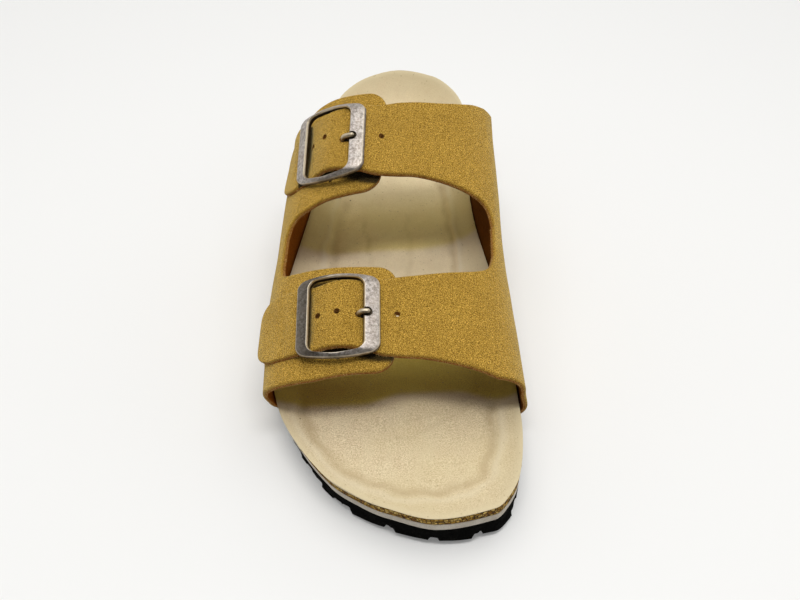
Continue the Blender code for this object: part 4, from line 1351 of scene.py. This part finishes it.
def leather_sheet(name, girth, y, lift, filled, under):
    """Leather of even thickness over a grid, with a rounded nap side, a flesh side and a raw cut edge."""
    number = np.full(girth.shape, -1)
    used = ~np.isnan(girth)
    number[used] = np.arange(used.sum())
    girth = girth[used]
    y = y[used]
    lift = lift[used]
    cells = []
    for i, j in zip(*np.nonzero(filled)):
        cells.append([int(number[corner]) for corner in ((i, j), (i + 1, j), (i + 1, j + 1), (i, j + 1))])
    rim_edges = boundary_loops(cells)
    middle = on_last(girth, y, lift + LEATHER / 2)[0]
    depth = edge_distance(middle, rim_edges)
    swell = soft_wave(middle) * ease(depth / SOFT_WAVE_FADE)
    outer = on_last(girth, y, lift + LEATHER + swell - rounded(depth, NAP_ROUND))[0]
    inner = on_last(girth, y, lift + swell + rounded(depth, FLESH_ROUND))[0]
    halfway = (outer + inner) / 2
    count = len(girth)
    faces = [list(reversed(cell)) for cell in cells]
    faces += [[k + count for k in cell] for cell in cells]
    kinds = [0] * len(cells) + [1] * len(cells)
    inside = {}
    for cell in cells:
        centre = middle[cell].mean(0)
        for k in cell:
            inside.setdefault(k, []).append(centre)
    away = {}
    waist = {}
    for a, b in rim_edges:
        for k in (a, b):
            if k not in waist:
                away[k] = unit(middle[k] - np.mean(inside[k], axis=0))
                waist[k] = 2 * count + len(waist)
        faces.append([a, b, waist[b], waist[a]])
        faces.append([waist[a], waist[b], b + count, a + count])
        kinds += [2, 2]
    bulge = [halfway[k] + away[k] * CUT_BULGE for k in waist]
    edge = np.concatenate([np.clip(depth, 0, 1), np.clip(depth, 0, 1), np.zeros(len(bulge))])
    points = np.vstack([outer, inner, bulge])
    # Each point carries how much shade is painted on it beneath the buckles
    mesh = write_mesh(name, points, faces, kinds, {"edge": edge, "crevice": in_the_dark(points, under)})
    runs = [(halfway[a], halfway[b], away[a], outer[a] - inner[a]) for a, b in rim_edges]
    return add_object(name, mesh, LEATHER_FACES), runs


def pin_mesh(work, start, end, radius, sides, top_radius=None):
    """Add a capped cylinder or cone from start to end, in millimetres."""
    start = Vector(start)
    end = Vector(end)
    turn = (end - start).to_track_quat("Z", "Y").to_matrix().to_4x4()
    turn.translation = (start + end) / 2
    bmesh.ops.create_cone(
        work,
        cap_ends=True,
        segments=sides,
        radius1=radius,
        radius2=radius if top_radius is None else top_radius,
        depth=(end - start).length,
        matrix=turn,
    )


def from_work(name, work, materials, kind):
    """Object from a bmesh in millimetres."""
    mesh = bpy.data.meshes.new(name)
    bmesh.ops.recalc_face_normals(work, faces=work.faces)
    bmesh.ops.translate(work, verts=work.verts, vec=Vector(ORIGIN))
    bmesh.ops.scale(work, verts=work.verts, vec=Vector((MM, MM, MM)))
    work.to_mesh(mesh)
    work.free()
    for polygon in mesh.polygons:
        polygon.material_index = kind
    return add_object(name, mesh, materials)


def hole_cutter():
    """Round strap holes, and the longer hole that each prong comes up through."""
    work = bmesh.new()
    for hole in HOLES:
        buckle = next(b for b in BUCKLES if b.name == hole.strap)
        lift = float(strap_lift(buckle, np.array(hole.girth), np.array(hole.y)))
        low = on_last(hole.girth, hole.y, lift - HOLE_BELOW)[0]
        high = on_last(hole.girth, hole.y, lift + LEATHER + HOLE_ABOVE)[0]
        pin_mesh(work, low, high, HOLE_RADIUS, HOLE_SIDES)
    for buckle in BUCKLES:
        corners = []
        for height in (SLOT_BOTTOM, SLOT_TOP):
            for k in range(HOLE_SIDES):
                turn = 2 * math.pi * (k + 0.5) / HOLE_SIDES
                middle = SLOT_TO if math.cos(turn) > 0 else SLOT_FROM - buckle.prong_back
                corner = (middle + SLOT_RADIUS * math.cos(turn), SLOT_RADIUS * math.sin(turn), height)
                corners.append(work.verts.new(place_on_buckle(corner, buckle)))
        for face in ring_faces(2, HOLE_SIDES):
            work.faces.new([corners[k] for k in face])
    return from_work("strap_holes", work, LEATHER_FACES, 2)


def fibres(name, runs):
    """Short loose fibres standing out of the raw cut edges, each a thin three-sided spike."""
    vertices = []
    faces = []
    for start, end, away, across in runs:
        along = end - start
        count = RANDOM.poisson(np.linalg.norm(along) * FIBRES_PER_MM)
        for _ in range(count):
            root = start + along * RANDOM.random() + across * RANDOM.uniform(-FIBRE_SPREAD, FIBRE_SPREAD)
            lean = RANDOM.normal(0.0, FIBRE_LEAN, 3)
            tip = root + (away + lean) * FIBRE_LENGTH * RANDOM.uniform(*FIBRE_LENGTHS)
            root = root - away * FIBRE_WIDTH * 2
            side = unit(np.cross(tip - root, RANDOM.normal(0.0, 1.0, 3)))
            third = unit(np.cross(side, tip - root))
            first = len(vertices)
            for k in range(3):
                turn = 2 * math.pi * k / 3
                vertices.append(root + (side * math.cos(turn) + third * math.sin(turn)) * FIBRE_WIDTH)
            vertices.append(tip)
            for k in range(3):
                faces.append([first + k, first + (k + 1) % 3, first + 3])
            faces.append([first, first + 2, first + 1])
    mesh = bpy.data.meshes.new(name)
    mesh.from_pydata(((np.array(vertices) + ORIGIN) * MM).tolist(), [], faces)
    return add_object(name, mesh, [MATERIALS["fibre"]])


def upper():
    """Inner-side leather with both straps, outer-side panel with both tabs, and their loose fibres."""
    straps_grid = side_panel(1, FRONT_STRAP, REAR_STRAP, STRAP_END_RADIUS, STRAP_COLUMNS, MEDIAL_FOOT, True)
    tabs_grid = side_panel(-1, FRONT_TAB, REAR_TAB, TAB_END_RADIUS, TAB_COLUMNS, LATERAL_FOOT, False)
    straps, strap_edges = leather_sheet("upper_straps", *straps_grid, under_rails)
    tabs, tab_edges = leather_sheet("upper_outer_panel", *tabs_grid, under_frame)
    boolean(straps, hole_cutter())
    for thing in (straps, tabs):
        shade(thing.data, SHARP_LEATHER)
        dress(thing, "upper")
    fuzz = fibres("upper_edge_fibres", strap_edges + tab_edges)
    dress(fuzz, "upper")


# Buckles


def frame_outline(length, width, corner):
    """Outline of a frame whose side rails bow out, evenly stepped round its corners and rails."""
    points = []
    rail = length / 2 - corner
    side = width / 2 - corner
    for sx, sy, start in ((1, 1, 0), (-1, 1, 90), (-1, -1, 180), (1, -1, 270)):
        for k in range(FRAME_STEPS + 1):
            turn = math.radians(start + 90 * k / FRAME_STEPS)
            points.append((sx * rail + corner * math.cos(turn), sy * side + corner * math.sin(turn)))
        for k in range(1, 2 * FRAME_STEPS):
            t = k / (2 * FRAME_STEPS)
            if sx == sy:
                points.append((sx * rail * (1 - 2 * t), sy * width / 2))
            else:
                points.append((sx * length / 2, sy * side * (1 - 2 * t)))
    bow = FRAME_BARREL * 2 / width
    return np.array([(x, y * (1 - bow * (x / FRAME_LENGTH * 2) ** 2)) for x, y in points])


# Section of a frame's rail: how far in from its outer or inner side, height, how rubbed it is, and how dark
# it is with dirt and with painted shade on the tall inner wall and the underside
RailPoint = namedtuple("RailPoint", "side inset height worn grime")
RAIL = table(
    RailPoint,
    ("outer", 0.0, -0.6, 0.0, 0.75), ("outer", 0.0, 0.45, 0.1, 0.3), ("outer", 0.06, 0.68, 0.55, 0.0),
    ("outer", 0.2, 0.86, 0.75, 0.0), ("outer", 0.42, 0.95, 0.15, 0.0), ("inner", 0.92, 0.95, 0.0, 0.0),
    ("inner", 0.74, 1.0, 0.6, 0.0), ("inner", 0.58, 0.95, 1.0, 0.0), ("inner", 0.12, 0.3, 0.85, 0.0),
    ("inner", 0.03, 0.05, 0.1, 0.8), ("inner", 0.0, -0.1, 0.0, 1.0), ("inner", 0.0, -1.6, 0.0, 1.0),
    ("inner", 0.25, -1.7, 0.0, 1.0), ("outer", 0.2, -0.75, 0.0, 1.0),
)


def buckle_frame(buckle):
    """Rounded frame bent to the foot, with a notch for the prong and a bar on two short posts below."""
    outer = frame_outline(FRAME_LENGTH, FRAME_WIDTH, FRAME_CORNER)
    inner = frame_outline(WINDOW_LENGTH, WINDOW_WIDTH, WINDOW_CORNER) + np.array([WINDOW_SHIFT, 0.0])
    rail_width = np.linalg.norm(inner - outer, axis=1)
    inward = (inner - outer) / rail_width[:, None]
    slope = END_RAIL_SLOPE * inward[:, 0] ** 2 + SIDE_RAIL_SLOPE * inward[:, 1] ** 2
    count = len(outer)
    vertices = []
    worn = []
    grime = []
    for point in RAIL:
        flat = outer + inward * point.inset if point.side == "outer" else inner - inward * point.inset
        rise = point.height * FRAME_THICK / 2 + FRAME_RISE - flat[:, 0] ** 2 / (2 * FRAME_BEND)
        if point.side == "outer":
            rise -= slope * np.maximum(rail_width - point.inset - RIDGE_INSET, 0.0)
        vertices.append(place_on_buckle(np.column_stack([flat, rise]), buckle))
        worn += [point.worn] * count
        # Painted shade on the outer end rail, for its dim reflection
        dark = buckle.patina * np.maximum(inward[:, 0], 0.0) ** 2 * (1 - point.worn)
        # Painted shade on the near rail's outer face
        if point.side == "outer":
            dark = np.maximum(dark, NEAR_RAIL_SHADE * np.maximum(inward[:, 1], 0.0) ** 2)
        grime += list(np.maximum(point.grime, dark))
    faces = ring_faces(len(RAIL), count, closed=True)
    name = buckle.name + "_buckle_frame"
    values = {"worn": np.array(worn), "grime": np.array(grime)}
    metals = [MATERIALS["metal"], MATERIALS["grime"]]
    thing = add_object(name, write_mesh(name, np.vstack(vertices), faces, None, values), metals)
    notch_x = WINDOW_LENGTH / 2 + WINDOW_SHIFT + NOTCH_IN
    work = bmesh.new()
    low, high = place_on_buckle([(notch_x, 0, NOTCH_FLOOR), (notch_x, 0, NOTCH_REACH)], buckle)
    pin_mesh(work, low, high, NOTCH_FOOT_RADIUS, NOTCH_SIDES, NOTCH_MOUTH_RADIUS)
    boolean(thing, from_work(buckle.name + "_notch", work, metals, 1))
    bar_end = POST_OUT + BAR_PAST_POST
    work = bmesh.new()
    for start, end, radius in (
        ((0, -bar_end, -BAR_DROP), (0, bar_end, -BAR_DROP), BAR_RADIUS),
        ((0, -POST_OUT, -BAR_DROP), (0, -POST_OUT, FRAME_RISE), POST_RADIUS),
        ((0, POST_OUT, -BAR_DROP), (0, POST_OUT, FRAME_RISE), POST_RADIUS),
    ):
        pin_mesh(work, *place_on_buckle([start, end], buckle), radius, BAR_SIDES)
    boolean(thing, from_work(buckle.name + "_bar", work, metals, 1), "UNION")
    shade(thing.data, SHARP_FRAME)
    dress(thing, buckle.name + "_buckle")


def prong(buckle):
    """Bent pin from the bar up through the strap's hole to the notch, with a rounded tip."""
    stops = np.array([(stop.along, 0.0, stop.height) for stop in PRONG_STOPS])
    stops[1:-1, 0] -= buckle.prong_back
    run = run_along(stops)
    place = np.linspace(0, run[-1], PRONG_RINGS)
    path = np.column_stack([smooth(run, stops[:, axis], place) for axis in range(3)])
    tangent = unit(np.gradient(path, axis=0))
    sideways = np.array([0.0, 1.0, 0.0])
    vertices = []
    worn = []
    grime = []
    for k in range(PRONG_RINGS):
        from_tip = min(run[-1] - place[k], PRONG_RADIUS)
        radius = max(math.sqrt(max(PRONG_RADIUS**2 - (PRONG_RADIUS - from_tip) ** 2, 0.0)), PRONG_TIP_RADIUS)
        upward = np.cross(tangent[k], sideways)
        for n in range(PRONG_SIDES):
            turn = 2 * math.pi * n / PRONG_SIDES
            vertices.append(path[k] + (sideways * math.cos(turn) + upward * math.sin(turn)) * radius)
            # A painted highlight along the top and painted shade towards the underside
            worn.append(PRONG_HIGHLIGHT * max(math.sin(turn), 0.0) ** 3)
            grime.append(PRONG_SIDE_SHADE - PRONG_SHADE_BELOW * math.sin(turn))
    faces = ring_faces(PRONG_RINGS, PRONG_SIDES)
    name = buckle.name + "_buckle_prong"
    values = {"worn": np.array(worn), "grime": np.clip(grime, 0.0, 1.0)}
    mesh = write_mesh(name, place_on_buckle(vertices, buckle), faces, None, values)
    shade(mesh, SHARP_PRONG)
    dress(add_object(name, mesh, [MATERIALS["brass"]]), buckle.name + "_prong")


# Stage


def photo_camera():
    yaw = math.radians(CAMERA_YAW)
    pitch = math.radians(CAMERA_PITCH)
    roll = math.radians(CAMERA_ROLL)
    ahead = Vector((math.sin(yaw) * math.cos(pitch), math.cos(yaw) * math.cos(pitch), -math.sin(pitch)))
    right = Vector((math.cos(yaw), -math.sin(yaw), 0))
    up = right.cross(ahead)
    across = math.cos(roll) * right + math.sin(roll) * up
    above = math.cos(roll) * up - math.sin(roll) * right
    lens = bpy.data.cameras.new("photo_camera")
    lens.sensor_width = CAMERA_SENSOR
    lens.lens = CAMERA_LENS
    camera = bpy.data.objects.new("photo_camera", lens)
    bpy.context.scene.collection.objects.link(camera)
    camera.matrix_world = Matrix((across, above, -ahead)).transposed().to_4x4()
    camera.location = Vector((np.array(CAMERA_PLACE) + ORIGIN) * MM)
    bpy.context.scene.camera = camera


def area_light(lamp):
    """Rectangular lamp that faces the middle of the shoe."""
    light = bpy.data.lights.new(lamp.name, "AREA")
    light.shape = "RECTANGLE"
    light.size, light.size_y = lamp.size
    light.energy = lamp.power
    light.color = LIGHT_TONE
    thing = bpy.data.objects.new(lamp.name, light)
    bpy.context.scene.collection.objects.link(thing)
    thing.location = lamp.place
    thing.rotation_euler = (-Vector(lamp.place)).to_track_quat("-Z", "Y").to_euler()


def studio():
    """Pale floor, soft lamps overhead and a white surround that is dim in front."""
    work = bmesh.new()
    bmesh.ops.create_grid(work, x_segments=2, y_segments=2, size=FLOOR_HALF)
    mesh = bpy.data.meshes.new("floor")
    work.to_mesh(mesh)
    work.free()
    glow = {"Emission_Color": FLOOR_GLOW_TONE, "Emission_Strength": FLOOR_GLOW}
    paint = Paint("floor_paper", 0.9, Specular_IOR_Level=0.1, **glow)
    floor = add_object("floor", mesh, [paint.done(FLOOR_TONE)])
    world = bpy.data.worlds.new("surround")
    bpy.context.scene.world = world
    world.use_nodes = True
    nodes = world.node_tree.nodes
    links = world.node_tree.links
    parts = nodes.new("ShaderNodeSeparateXYZ")
    links.new(nodes.new("ShaderNodeTexCoord").outputs["Generated"], parts.inputs[0])
    strength = None
    for gain in SURROUND:
        span = nodes.new("ShaderNodeMapRange")
        for label, value in zip(("From Min", "From Max", "To Min", "To Max"), gain[1:]):
            span.inputs[label].default_value = value
        links.new(parts.outputs[gain.axis], span.inputs["Value"])
        if strength is None:
            strength = span.outputs["Result"]
            continue
        product = nodes.new("ShaderNodeMath")
        product.operation = "MULTIPLY"
        links.new(strength, product.inputs[0])
        links.new(span.outputs["Result"], product.inputs[1])
        strength = product.outputs[0]
    links.new(strength, nodes["Background"].inputs["Strength"])
    nodes["Background"].inputs["Color"].default_value = (*LIGHT_TONE, 1.0)
    for lamp in LAMPS:
        area_light(lamp)
    bpy.context.scene.view_settings.view_transform = "Standard"


photo_camera()
studio()
dress(outsole(), "outsole")
pale_band = sole_layer(
    "pale_midsole", midsole_top, midsole_bottom, FLAT_COLUMNS, MATERIALS["pale"], swell=MIDSOLE_SWELL
)
dress(pale_band, "midsole")
cork_layer = sole_layer(
    "cork_footbed", cork_top, cork_bottom, CORK_COLUMNS, MATERIALS["cork"], leather_seat, rough=CORK_ROUGH
)
dress(cork_layer, "footbed")
liner = sole_layer(
    "suede_liner", worn_liner_top, liner_bottom, LINER_COLUMNS, MATERIALS["suede"], marks=suede_marks
)
dress(liner, "insole")
upper()
for each in BUCKLES:
    buckle_frame(each)
    prong(each)
